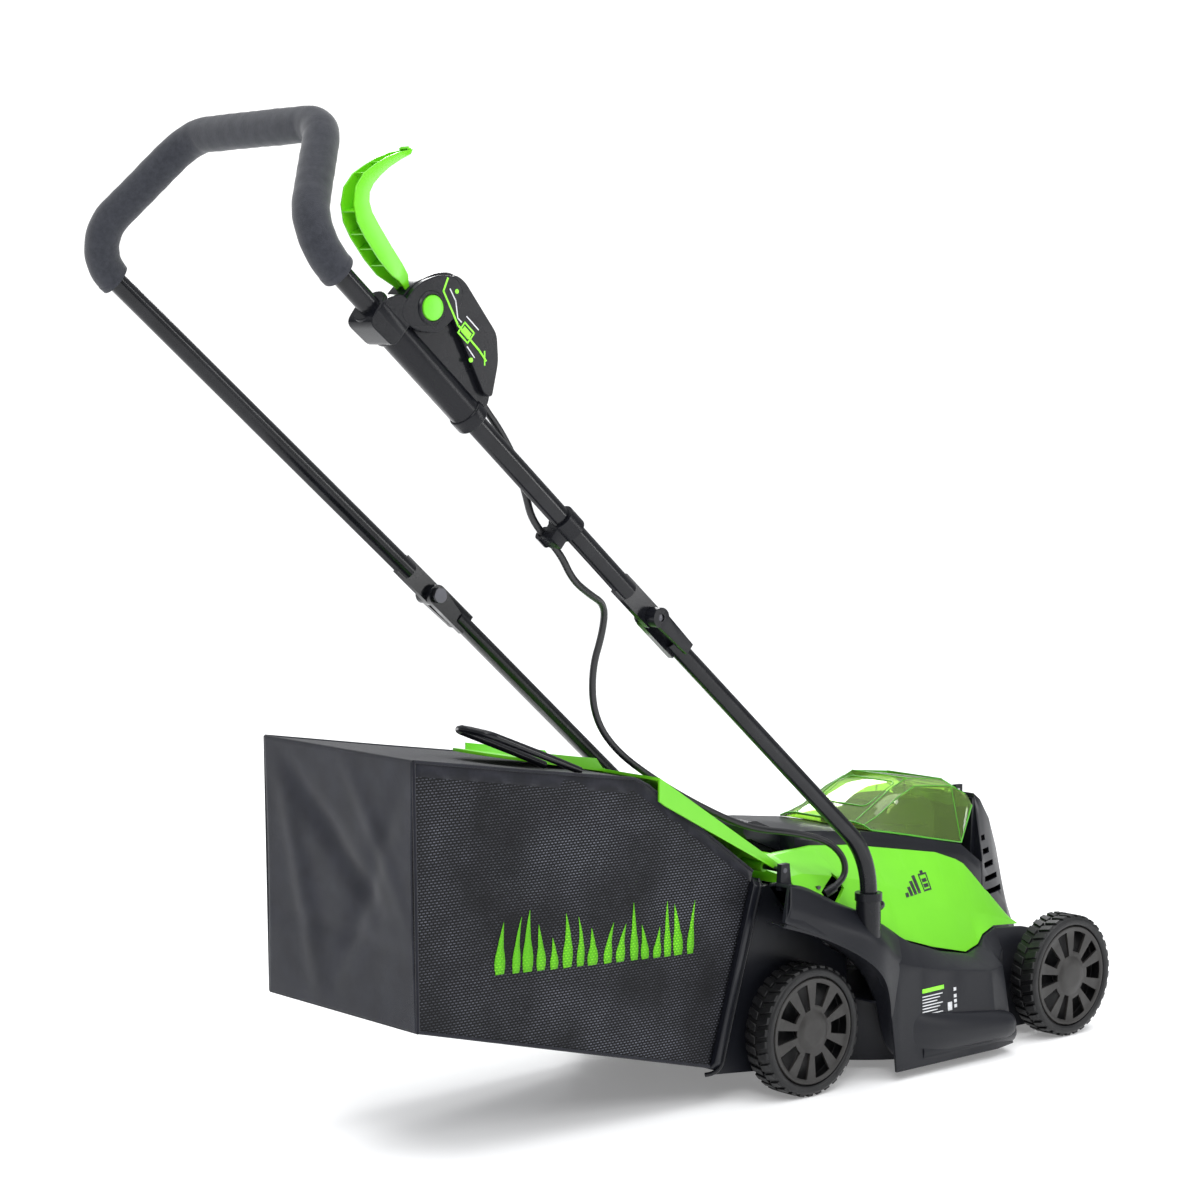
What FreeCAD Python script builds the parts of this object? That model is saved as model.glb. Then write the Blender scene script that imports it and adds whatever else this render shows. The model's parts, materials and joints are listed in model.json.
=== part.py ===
"""Cordless push lawn mower with a folding handle and a rear grass bag.

Millimetres.  +X is forward, +Y is left, +Z is up.  Stations along X are counted from the rear
wheel axle, and every sub-part's Placement shifts them so that the model's origin is under the
middle of the whole machine.
"""
import FreeCAD
import Part
import Sketcher
import math
import os
import re

from FreeCAD import Placement, Rotation, Vector

SIZES = {
    # whole machine
    "rear_axle_x": 92.563,
    "wheelbase": 456.5,
    "wheel_radius": 76.0,
    "wheel_width": 38.0,
    "wheel_outer_y": 178.0,
    "plastic_wall": 3.0,
    # deck
    "deck_bottom": 11.0,
    "deck_roof": 94.0,
    "deck_half_width": 193.0,
    "well_half_width": 128.0,
    "blade_x": 247.0,
    "chamber_radius": 172.0,
    # axle cranks: bearing centre to wheel centre
    "crank_forward": 30.0,
    "crank_drop": 32.0,
    "axle_radius": 5.0,
    # cutter
    "blade_length": 325.0,
    "blade_plane": 27.0,
    "shaft_radius": 6.0,
    # handle
    "lower_y": 186.5,
    "socket_x": 79.0,
    "socket_top": 229.0,
    "tube_radius": 10.0,
    "upper_tube_radius": 11.0,
    "tube_wall": 1.3,
    "arm_slope": 40.8,
    "corner_z": 273.0,
    "pivot_reach": 453.0,
    "arm_reach": 1008.0,
    "grip_y": 202.5,
    "grip_top_y": 118.0,
    "grip_radius": 18.5,
    # grass bag
    "bag_half_width": 134.0,
    "cloth": 2.5,
    # power cable
    "cable_radius": 3.9,
    # hinges and pins
    "flap_x": -26.0,
    "flap_z": 262.5,
    "flap_rod_radius": 3.0,
    "lid_x": 390.0,
    "lid_z": 302.5,
    "lid_pin_radius": 1.6,
    "link_radius": 72.0,
    "link_pin": 3.0,
    "fold_pin": 4.0,
    "button_radius": 12.5,
    # grip loop and cable clip
    "grip_top_x": -634.0,
    "grip_top_z": 1076.0,
    "clip_reach": 612.0,
}

document = FreeCAD.newDocument("push_mower")
sheet = document.addObject("Spreadsheet::Sheet", "sizes")
for row, (word, number) in enumerate(SIZES.items(), start=1):
    sheet.set("A%d" % row, word)
    sheet.set("B%d" % row, str(number))
    sheet.setAlias("B%d" % row, word)
document.recompute()

WORDS = re.compile(r"\b(" + "|".join(sorted(SIZES, key=len, reverse=True)) + r")\b")


def full(expression):
    """An expression with every size word pointed at the sheet."""
    return WORDS.sub(r"sizes.\1", str(expression))


def value(expression):
    """The number that an expression over the sheet gives."""
    result = sheet.evalExpression(full(expression))
    return float(getattr(result, "Value", result))


def minus(expression):
    return "-(%s)" % expression


def place(item, rotation=None, base=None):
    """Put a sub-part in the model's frame; base is (x, y, z), with x counted from the rear axle."""
    x, y, z = base or (0, 0, 0)
    at = Vector(value(x) + value("rear_axle_x"), value(y), value(z))
    item.Placement = Placement(at, rotation or Rotation())
    item.setExpression(".Placement.Base.x", full("rear_axle_x+(%s)" % x))
    item.setExpression(".Placement.Base.y", full(y))
    item.setExpression(".Placement.Base.z", full(z))


class Piece:
    """A PartDesign body made of padded, cut, turned and lofted sketches."""

    def __init__(self, label, rotation=None, base=None):
        self.body = document.addObject("PartDesign::Body", label)
        self.body.Label = label
        place(self.body, rotation, base)
        self.count = 0

    def sketch(self, plane, offset="0"):
        self.count += 1
        drawing = self.body.newObject("Sketcher::SketchObject", "%s_s%d" % (self.body.Name, self.count))
        origin = [item for item in self.body.Origin.OriginFeatures if item.Role == plane + "_Plane"][0]
        drawing.AttachmentSupport = [(origin, "")]
        drawing.MapMode = "FlatFace"
        drawing.setExpression(".AttachmentOffset.Base.z", full(offset))
        return drawing

    def pin(self, drawing, shape, point, across, up):
        """Bind one point of one edge to two expressions."""
        for kind, expression in (("DistanceX", across), ("DistanceY", up)):
            where = drawing.addConstraint(
                Sketcher.Constraint(kind, -1, 1, shape, point, value(expression)))
            drawing.setExpression("Constraints[%d]" % where, full(expression))

    def outline(self, drawing, points):
        """A closed outline of straight edges."""
        corners = [Vector(value(x), value(y), 0) for x, y in points]
        edges = [Part.LineSegment(a, b) for a, b in zip(corners, corners[1:] + corners[:1])]
        first = drawing.addGeometry(edges, False)[0]
        for number in range(len(edges)):
            following = first + (number + 1) % len(edges)
            drawing.addConstraint(Sketcher.Constraint("Coincident", first + number, 2, following, 1))
        for number, (x, y) in enumerate(points):
            self.pin(drawing, first + number, 1, x, y)

    def ring(self, drawing, across, up, radius):
        """A whole circle."""
        centre = Vector(value(across), value(up), 0)
        circle = drawing.addGeometry(Part.Circle(centre, Vector(0, 0, 1), value(radius)), False)
        self.pin(drawing, circle, 3, across, up)
        where = drawing.addConstraint(Sketcher.Constraint("Radius", circle, value(radius)))
        drawing.setExpression("Constraints[%d]" % where, full(radius))

    def draw(self, drawing, shapes):
        """Outlines are lists of points, circles are (across, up, radius)."""
        for shape in shapes:
            if isinstance(shape, tuple):
                self.ring(drawing, *shape)
            else:
                self.outline(drawing, shape)

    def span(self, plane, low, high):
        """Offsets along the sketch's normal; the XZ plane's normal is -Y."""
        return (minus(high), minus(low)) if plane == "XZ" else (low, high)

    def add(self, plane, low, high, *shapes):
        """Material between two positions along the plane's own axis."""
        start, end = self.span(plane, low, high)
        drawing = self.sketch(plane, start)
        self.draw(drawing, shapes)
        pad = self.body.newObject("PartDesign::Pad", "%s_add%d" % (self.body.Name, self.count))
        pad.Profile = drawing
        pad.setExpression("Length", full("(%s)-(%s)" % (end, start)))
        return self

    def cut(self, plane, low, high, *shapes):
        """The opposite: the same block taken away."""
        start, end = self.span(plane, low, high)
        drawing = self.sketch(plane, end)
        self.draw(drawing, shapes)
        pocket = self.body.newObject("PartDesign::Pocket", "%s_cut%d" % (self.body.Name, self.count))
        pocket.Profile = drawing
        pocket.setExpression("Length", full("(%s)-(%s)" % (end, start)))
        return self

    def turn(self, points, groove=False):
        """Turn an outline of (radius, height) about the body's own Z axis."""
        drawing = self.sketch("XZ")
        self.outline(drawing, points)
        kind = "PartDesign::Groove" if groove else "PartDesign::Revolution"
        turned = self.body.newObject(kind, "%s_turn%d" % (self.body.Name, self.count))
        turned.Profile = drawing
        turned.ReferenceAxis = (drawing, ["V_Axis"])
        turned.Angle = 360
        return self

    def loft(self, sections, remove=False):
        """Run through outlines of (y, z) at stations along X."""
        drawings = []
        for station, points in sections:
            drawing = self.sketch("YZ", station)
            self.outline(drawing, points)
            drawings.append(drawing)
        kind = "PartDesign::SubtractiveLoft" if remove else "PartDesign::AdditiveLoft"
        loft = self.body.newObject(kind, "%s_loft%d" % (self.body.Name, self.count))
        loft.Profile = drawings[0]
        loft.Sections = drawings[1:]
        loft.Ruled = True
        return self

    def polar(self, number, axis="Z"):
        """Repeat the last feature round the body's own axis."""
        document.recompute()
        last = self.body.Tip
        axes = [item for item in self.body.Origin.OriginFeatures if item.Role == axis + "_Axis"]
        pattern = self.body.newObject("PartDesign::PolarPattern", "%s_polar" % last.Name)
        pattern.Originals = [last]
        pattern.Axis = (axes[0], [""])
        pattern.Angle = 360
        pattern.Occurrences = number
        self.body.Tip = pattern
        return self




def box(x0, x1, y0, y1):
    """A rectangle's four corners."""
    return [(x0, y0), (x1, y0), (x1, y1), (x0, y1)]


def feature(label, shape, rotation=None, base=None):
    """A sub-part whose shape comes from Part's own functions."""
    item = document.addObject("Part::Feature", label)
    item.Label = label
    item.Shape = shape
    place(item, rotation, base)
    return item


def route(points, radii):
    """Straight runs joined by tangent arcs; one radius for each inner point."""
    spots = [Vector(*point) for point in points]
    edges = []
    start = spots[0]
    for before, corner, after, radius in zip(spots, spots[1:], spots[2:], radii):
        back = (before - corner).normalize()
        ahead = (after - corner).normalize()
        half_turn = (math.pi - back.getAngle(ahead)) / 2
        reach = radius * math.tan(half_turn)
        enter = corner + back * reach
        leave = corner + ahead * reach
        middle = corner + (back + ahead).normalize() * (radius / math.cos(half_turn) - radius)
        if (enter - start).Length > 1e-6:
            edges.append(Part.LineSegment(start, enter).toShape())
        edges.append(Part.Arc(enter, middle, leave).toShape())
        start = leave
    edges.append(Part.LineSegment(start, spots[-1]).toShape())
    return Part.Wire(edges)


def pipe(wire, radius):
    """A round bar along a wire."""
    start = wire.Edges[0].valueAt(wire.Edges[0].FirstParameter)
    heading = wire.Edges[0].tangentAt(wire.Edges[0].FirstParameter)
    ring = Part.Wire([Part.Circle(start, heading, radius).toShape()])
    return wire.makePipeShell([ring], True, False, 2)


def cylinder(centre, axis, radius, length):
    """A round bar centred on a point."""
    heading = Vector(*axis).normalize()
    foot = Vector(*centre) - heading * (length / 2)
    return Part.makeCylinder(radius, length, foot, heading)


def mirrored(shape):
    """The same shape on the other side of the machine."""
    return shape.mirror(Vector(0, 0, 0), Vector(0, 1, 0))


# ------------------------------------------------------------------ deck

def deck_section(station, bottom, edge, edge_z, top, top_z, inset=0, floor="deck_bottom"):
    """One cross-section: skirt foot, shoulder edge and shoulder top, the same on both sides."""
    side = [
        ("%s-%s" % (bottom, inset), floor),
        ("%s-%s" % (edge, inset), "%s-%s*0.6" % (edge_z, inset)),
        ("%s-%s" % (top, inset), "%s-%s" % (top_z, inset)),
    ]
    left = [(minus(y), z) for y, z in reversed(side)]
    return (station, side + left)


DECK_STATIONS = [
    ("-74", "deck_half_width", "deck_half_width", 215, 176, 247),
    ("-30", "deck_half_width", "deck_half_width", 205, 172, 249),
    ("20", "deck_half_width", "deck_half_width", 182, 170, 227),
    ("72", "deck_half_width", "deck_half_width", 158, 170, 204),
    ("122", "deck_half_width", "deck_half_width", 141, 172, 180),
    ("170", "deck_half_width", "deck_half_width-4", 128, 168, 155),
    ("235", "deck_half_width", "deck_half_width-8", 116, 160, 134),
    ("300", "deck_half_width", "deck_half_width-12", 106, 148, 120),
    ("338", "deck_half_width-8", "deck_half_width-26", 104, 132, 122),
    ("352", "150", "148", 106, 124, 132),
    ("382", "well_half_width", "well_half_width", 112, 116, 137),
    ("440", "well_half_width", "well_half_width", 108, 116, 131),
    ("500", "well_half_width", "well_half_width-3", 96, 112, 112),
    ("528", "112", "108", 84, 96, 96),
]


def make_deck():
    deck = Piece("deck_shell")
    deck.loft([deck_section(*row) for row in DECK_STATIONS])
    hollow = [("-95",) + DECK_STATIONS[0][1:]] + DECK_STATIONS[1:-1]
    hollow.append(("524",) + DECK_STATIONS[-1][1:])
    deck.loft([deck_section(*row, inset="plastic_wall", floor="deck_bottom-5") for row in hollow], True)
    # open top under the motor cover, link slot and height lever slot
    deck.cut("XY", "96", "260", [("-60", "-147"), ("100", "-147"), ("230", "-138"), ("330", "-112"),
                                 ("500", "-104"), ("500", "104"), ("330", "112"), ("230", "138"),
                                 ("100", "147"), ("-60", "147")])
    deck.cut("XY", "120", "300", box("-20", "200", "161.5", "169.5"))
    deck.cut("YZ", "232", "384", [("128.4", "96"), ("137", "96"), ("137", "124"), ("128.4", "124")])
    # seats of the handle sockets
    for side in (-1, 1):
        deck.cut("XY", "136", "262", [("socket_x+%.3f" % x, "%d*lower_y+%.3f" % (side, y))
                                      for x, y in hexagon(16.9)])
    # cutting chamber: ring, roof and rear chute, and the rounded runners along the skirts
    deck.add("XY", "deck_bottom+2", "deck_roof", ("blade_x", "0", "chamber_radius+plastic_wall"))
    deck.add("XY", "deck_roof-plastic_wall", "deck_roof",
             [("20", "-127"), ("90", "-127"), ("120", "-188"), ("230", "-182"), ("300", "-174"),
              ("338", "-158"), ("380", "-126"), ("500", "-122"), ("525", "-103"), ("525", "103"),
              ("500", "122"), ("380", "126"), ("338", "158"), ("300", "174"), ("230", "182"),
              ("122", "188"), ("122", "127"), ("20", "127")])
    side_wall = [("-112", "deck_bottom+24"), ("104", "deck_bottom+2"), ("104", "142"), ("80", "153"),
                 ("40", "178"), ("0", "202"), ("-28", "241.5"), ("-112", "241.5")]
    for side in (-1, 1):
        deck.add("YZ", "168", "333", (side * 180.5, "27", "14"))
        near, far = sorted((side * 124.0, side * 128.0))
        deck.add("XZ", near, far, side_wall)
    deck.add("XZ", "-128", "128", [("100", "91"), ("100", "95"), ("-26", "243"), ("-30", "240")])
    deck.add("XZ", "-128", "128", [("-112", "57"), ("86", "57"), ("86", "60"), ("-112", "60")])
    deck.cut("XY", "deck_bottom-2", "deck_roof-plastic_wall", ("blade_x", "0", "chamber_radius"))
    deck.cut("XZ", "-124", "124", [("200", "60"), ("200", "91"), ("97", "91"), ("-50", "262"),
                                   ("-125", "262"), ("-125", "60")])
    # rear wheel arches, open outwards and downwards
    arch = [("-125", "0"), ("-125", "219"), ("-70", "215"), ("0", "188"), ("56", "160"), ("83", "138"),
            ("103", "108"), ("113", "80"), ("119", "41"), ("124", "0")]
    for side in (-1, 1):
        near, far = sorted((side * 128.0, side * 200.0))
        deck.cut("XZ", near, far, arch)
    # slanted rear faces: the bag's frame in the middle, the fender ends outside it
    deck.cut("XZ", "-152", "152", [("-33", "280"), ("-110", "30"), ("-140", "30"), ("-140", "280")])
    for side in (-1, 1):
        near, far = sorted((side * 151.0, side * 200.0))
        deck.cut("XZ", near, far, [("-19", "269.5"), ("-99", "164"), ("-142", "164"), ("-142", "269.5")])
    # motor seat and crank bearings
    deck.cut("XY", "deck_roof-10", "deck_roof+10", ("blade_x", "0", "16"))
    for station in ("crank_forward", "wheelbase+crank_forward"):
        deck.cut("XZ", "-140", "140", (station, "wheel_radius-crank_drop", "axle_radius+0.6"))
    # ears for the flap rod
    for side in (-1, 1):
        near, far = sorted((side * 149.0, side * 156.0))
        deck.add("XZ", near, far, [("-34", "240"), ("-15", "236"), ("-19", "270"), ("-32", "270")])
    deck.cut("XZ", "-200", "200", ("flap_x", "flap_z", "flap_rod_radius"))
    return deck


# ------------------------------------------------------------------ covers and battery

def shell_section(station, points, inset=0):
    """One cross-section of a cover: half-outline from foot to crown, the same on both sides."""
    side = [("%s-%s" % (y, inset), "%s-%s" % (z, inset if number else 0))
            for number, (y, z) in enumerate(points)]
    if inset:
        side[0] = (side[0][0], "%s-6" % points[0][1])
    return (station, side + [(minus(y), z) for y, z in reversed(side)])


def shell(piece, stations, wall, first, last):
    """A lofted cover with an open underside; first and last move the hollow's two ends."""
    piece.loft([shell_section(*row) for row in stations])
    hollow = list(stations)
    hollow[0] = (first, hollow[0][1])
    hollow[-1] = (last, hollow[-1][1])
    piece.loft([shell_section(*row, inset=wall) for row in hollow], True)


COVER_STATIONS = [
    ("-14", [(160, 243), (147, 252), (100, 257)]),
    ("12", [(160, 232), (145, 253), (96, 268)]),
    ("80", [(160, 202), (140, 241), (93, 271)]),
    ("150", [(158, 168), (132, 223), (91, 264)]),
    ("170", [(156, 157.5), (130, 216.5), (91, 260.5)]),
    ("230", [(150, 139), (124, 197), (90, 250)]),
    ("300", [(140, 122), (116, 174), (89, 238)]),
    ("338", [(126, 124.5), (109, 164), (88, 225)]),
    ("352", [(121, 134), (107, 159), (88, 218)]),
    ("385", [(110, 139), (102, 152), (87, 190)]),
    ("444", [(99, 132), (95, 134), (84, 138)]),
]

HOUSING_STATIONS = [
    ("66", [(78, 250), (78, 278), (74, 288)]),
    ("118", [(86, 205), (86, 270), (80, 283)]),
    ("200", [(86, 165), (86, 259), (80, 273)]),
    ("295", [(85, 132), (85, 241), (80, 254)]),
    ("356", [(84, 118), (84, 226), (80, 241)]),
    ("392", [(83, 118), (83, 200), (80, 216)]),
]

NOSE_STATIONS = [
    ("397", [(82, 118), (80, 212), (64, 299)]),
    ("414", [(80, 118), (76, 190), (60, 289)]),
    ("438", [(76, 118), (70, 168), (54, 262)]),
    ("462", [(70, 118), (63, 150), (46, 220)]),
    ("480", [(62, 118), (55, 132), (38, 172)]),
    ("492", [(52, 118), (46, 122), (32, 130)]),
]

LID_STATIONS = [
    ("196", [(78, 275), (66, 280), (50, 282)]),
    ("222", [(80, 270.5), (64, 288), (48, 294)]),
    ("262", [(80, 262.5), (62, 308), (46, 315)]),
    ("292", [(80, 256), (61, 318), (46, 326)]),
    ("357", [(80, 243), (62, 312), (46, 319)]),
    ("386", [(72, 286), (62, 298), (46, 304)]),
]


def make_motor_cover():
    cover = Piece("motor_cover")
    shell(cover, COVER_STATIONS, "2.5", "-11", "441")
    cover.cut("XY", "100", "300", [("20", "-84"), ("60", "-87.5"), ("393", "-87.5"), ("440", "-80"),
                                   ("500", "-78"), ("500", "78"), ("440", "80"), ("393", "87.5"),
                                   ("60", "87.5"), ("20", "84")])
    cover.cut("XZ", "-170", "-120", [("33", "230"), ("70", "246"), ("80", "228"), ("46", "208")])
    return cover


def make_battery_housing():
    housing = Piece("battery_housing")
    shell(housing, HOUSING_STATIONS, "3", "69", "389")
    housing.cut("XY", "222", "320", box("199", "389", "-76", "76"))
    housing.add("XZ", "-83", "83", [("110", "214"), ("300", "214"), ("388", "196"), ("388", "199"),
                                    ("300", "217"), ("110", "217")])
    housing.add("XZ", "-80", "80", [("388.5", "118"), ("397.5", "118"), ("397.5", "214"),
                                    ("388.5", "214")])
    housing.add("XZ", "-66", "66", [("389.5", "213"), ("397.5", "213"), ("397.5", "293"),
                                    ("393", "293")])
    shell(housing, NOSE_STATIONS, "3", "400", "489")
    # carry handle behind the lid
    housing.add("XZ", "-54", "54", [("6", "288"), ("12", "282"), ("28", "280"), ("33", "285"),
                                    ("32", "297"), ("24", "302"), ("11", "301"), ("6", "296")])
    for side in (-1, 1):
        near, far = sorted((side * 42.0, side * 54.0))
        housing.add("XZ", near, far, [("20", "280"), ("74", "258"), ("74", "282"), ("28", "301")])
        near, far = sorted((side * 38.0, side * 44.0))
        housing.add("XZ", near, far, [("386", "280"), ("399", "280"), ("399", "308"), ("387", "308")])
    housing.cut("XZ", "-60", "60", ("lid_x", "lid_z", "lid_pin_radius"))
    # air vents in both flanks of the nose
    for level in range(5):
        low = 170 + 17 * level
        housing.cut("XZ", "-90", "-52", box("404", "%d" % (452 - 9 * level), low, low + 7))
        housing.cut("XZ", "52", "90", box("404", "%d" % (452 - 9 * level), low, low + 7))
    return housing


def make_battery_lid():
    lid = Piece("battery_lid")
    shell(lid, LID_STATIONS, "2.2", "197", "384")
    for side in (-1, 1):
        near, far = sorted((side * 29.0, side * 36.0))
        lid.add("XZ", near, far, [("380", "300"), ("391", "297"), ("394", "303"), ("391", "307"),
                                  ("382", "307")])
        near, far = sorted((side * 37.4, side * 44.6))
        lid.cut("XZ", near, far, box("379", "400", "290", "315"))
    lid.cut("XZ", "-60", "60", ("lid_x", "lid_z", "lid_pin_radius+0.06"))
    return lid


def make_battery():
    pack = Piece("battery_pack")
    pack.add("XZ", "-38", "38", [("222", "218"), ("346", "218"), ("352", "236"), ("350", "282"),
                                 ("338", "296"), ("246", "300"), ("226", "272")])
    for side in (-1, 1):
        near, far = sorted((side * 38.0, side * 41.0))
        pack.add("XZ", near, far, [("240", "232"), ("340", "232"), ("340", "262"), ("240", "268")])
    key = Piece("safety_key")
    key.add("XY", "217.5", "262", box("203", "215", "-26", "-16"))
    key.add("XY", "262", "277", box("200.5", "218", "-30", "-12"))
    board = Piece("controller_board")
    board.add("XY", "120", "122", box("312", "380", "-55", "55"))
    for spot in (-35, 0, 35):
        board.add("XY", "121.5", "140", ("345", spot, "8"))
    board.add("XY", "121.5", "133", box("318", "332", "-45", "45"))


def make_flap():
    flap = Piece("rear_flap")
    plate = [("-18", "262.5"), ("-205", "381"), ("-205", "384.5"), ("-18", "266")]
    flap.add("XZ", "-140", "140", plate)
    tongue = [("-203", "-46"), ("-203", "46"), ("-330", "46"), ("-360", "30"), ("-366", "12"),
              ("-366", "-12"), ("-360", "-30"), ("-330", "-46")]
    flap.add("XY", "380", "430", tongue)
    flap.cut("XZ", "-60", "60", [("-200", "384"), ("-366", "415.5"), ("-400", "421"),
                                 ("-400", "440"), ("-200", "440")])
    flap.cut("XZ", "-60", "60", [("-205.1", "370"), ("-205.1", "381.5"), ("-366", "412"),
                                 ("-400", "418"), ("-400", "370")])
    for side in (-1, 1):
        near, far = sorted((side * 137.2, side * 140.0))
        flap.add("XZ", near, far, [("-26", "262"), ("-196", "352"), ("-205", "358"), ("-205", "384.5"),
                                   ("-18", "266")])
        near, far = sorted((side * 86.0, side * 122.0))
        flap.add("XZ", near, far, ("flap_x", "flap_z", "6.2"))
        near, far = sorted((side * 43.6, side * 46.0))
        flap.add("XZ", near, far, [("-204", "383"), ("-330", "407"), ("-330", "416"),
                                   ("-215", "397")])
    flap.cut("XZ", "-160", "160", ("flap_x", "flap_z", "flap_rod_radius+0.06"))
    rod = Piece("flap_rod")
    rod.add("XZ", "-156", "156", ("flap_x", "flap_z", "flap_rod_radius"))
    spring = Piece("flap_spring", Rotation(Vector(1, 0, 0), 90), ("flap_x", "30", "flap_z"))
    coils = [("3.6", "0"), ("3.6", "0.8")]
    for turn_number in range(12):
        coils += [("3.95", 0.9 + 1.5 * turn_number), ("3.6", 1.7 + 1.5 * turn_number)]
    coils += [("3.6", "18.4"), ("3.2", "18.4"), ("3.2", "0")]
    spring.turn(coils)


# ------------------------------------------------------------------ cutter

def make_cutter():
    blade = Piece("blade", base=("blade_x", "0", "0"))
    half = "blade_length/2"
    blade.add("XY", "blade_plane", "blade_plane+3",
              [(minus(half), "-20"), ("-80", "-24"), ("80", "-24"), (half, "-24"), (half, "20"),
               ("80", "24"), ("-80", "24"), (minus(half), "24")])
    for side in (-1, 1):
        near, far = sorted((side * 100.0, side * 156.0))
        blade.add("YZ", near, far, [(side * 20, "blade_plane+3"), (side * 27, "blade_plane+12"),
                                    (side * 25, "blade_plane+13"), (side * 15, "blade_plane+2")])
    blade.cut("XY", "0", "60", ("0", "0", "4.05"))
    adapter = Piece("blade_adapter", base=("blade_x", "0", "0"))
    adapter.add("XY", "blade_plane+3", "blade_plane+20", ("0", "0", "17"))
    adapter.add("XY", "blade_plane+16", "blade_plane+19", ("0", "0", "46"))
    adapter.add("XY", "blade_plane+18", "blade_plane+32", box("16", "44", "-1.2", "1.2"))
    adapter.polar(9)
    adapter.cut("XY", "0", "100", ("0", "0", "shaft_radius"))
    shaft = Piece("motor_armature", base=("blade_x", "0", "0"))
    shaft.add("XY", "blade_plane+3", "162", ("0", "0", "shaft_radius"))
    shaft.add("XY", "108", "146", ("0", "0", "26"))
    shaft.cut("XY", "0", "blade_plane+25", ("0", "0", "4"))
    bolt = Piece("blade_bolt", base=("blade_x", "0", "0"))
    bolt.add("XY", "blade_plane-8", "blade_plane-2.2", hexagon(7.5))
    bolt.add("XY", "blade_plane-2.3", "blade_plane+24", ("0", "0", "4"))
    washer = Piece("blade_washer", base=("blade_x", "0", "0"))
    washer.add("XY", "blade_plane-2.2", "blade_plane", ("0", "0", "16"))
    washer.cut("XY", "0", "blade_plane+1", ("0", "0", "4.05"))
    can = Piece("motor_can", base=("blade_x", "0", "0"))
    can.turn([("6.06", "95"), ("15", "95"), ("15.8", "94.3"), ("46", "94.3"), ("46", "97"), ("42", "99"),
              ("42", "156"), ("38", "160"), ("6.06", "160"), ("6.06", "157"), ("39", "157"),
              ("39", "98"), ("6.06", "98")])
    stator = Piece("motor_stator", base=("blade_x", "0", "0"))
    stator.add("XY", "106", "148", ("0", "0", "38.9"))
    stator.cut("XY", "100", "150", ("0", "0", "27"))
    stator.cut("XY", "100", "150", box("29", "36", "-4", "4"))
    stator.polar(6)


def hexagon(radius):
    """Six corners round the origin."""
    return [(radius * math.cos(math.radians(60 * n)), radius * math.sin(math.radians(60 * n)))
            for n in range(6)]


# ------------------------------------------------------------------ wheels and height adjustment

OUTWARD = {"right": Rotation(Vector(1, 0, 0), 90), "left": Rotation(Vector(1, 0, 0), -90)}
AXLES = {"front": "wheelbase", "rear": "0"}


def make_wheel(end, side):
    sign = -1 if side == "right" else 1
    inner_face = "%d*(wheel_outer_y-wheel_width)" % sign
    where = (AXLES[end], inner_face, "wheel_radius")
    wheel = Piece("wheel_%s_%s" % (end, side), OUTWARD[side], where)
    wide = "wheel_width"
    wheel.turn([("axle_radius+0.06", "1"), ("13", "1"), ("13", "12"), ("61", "12"), ("61", "4"),
                ("66", "0"), ("wheel_radius-3", "0"), ("wheel_radius", "4"),
                ("wheel_radius", wide + "-4"), ("wheel_radius-3", wide), ("66", wide),
                ("62.5", wide + "-5"), ("62.5", "17"), ("13", "17"), ("13", "22"),
                ("axle_radius+0.06", "22")])
    wheel.cut("XY", "4", "30", box("24", "54", "-6", "6"))
    wheel.polar(5)
    cap = Piece("hubcap_%s_%s" % (end, side), OUTWARD[side], where)
    cap.turn([("0", wide + "-2.5"), ("17", wide + "-2.5"), ("20", wide + "-4.5"),
              ("56", wide + "-4.5"), ("61", wide + "-1.2"), ("62.2", wide + "-1.2"),
              ("62.2", wide + "-6.5"), ("58", wide + "-8"), ("21", wide + "-8"), ("17", wide + "-6"),
              ("0", wide + "-6")])
    cap.cut("XY", "20", "wheel_width+1",
            [("25", "-3.5"), ("27", "-5"), ("50", "-5"), ("54", "-4"), ("54", "4"), ("50", "5"),
             ("27", "5"), ("25", "3.5")])
    cap.polar(5)
    cap.cut("XY", "20", "wheel_width+1", [(r * math.cos(math.radians(a)), r * math.sin(math.radians(a)))
                                         for r, a in ((37, 26), (53, 22), (56, 36), (53, 50), (37, 46))])
    cap.polar(5)


def crank_points(station):
    """The bent axle's centre line, from wheel to wheel."""
    wheel_x = value(station)
    wheel_z = value("wheel_radius")
    bearing_x = wheel_x + value("crank_forward")
    bearing_z = wheel_z - value("crank_drop")
    end = value("wheel_outer_y") - 7
    bend = 134.5
    return [(wheel_x, -end, wheel_z), (wheel_x, -bend, wheel_z), (bearing_x, -bend, bearing_z),
            (bearing_x, bend, bearing_z), (wheel_x, bend, wheel_z), (wheel_x, end, wheel_z)]


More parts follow.
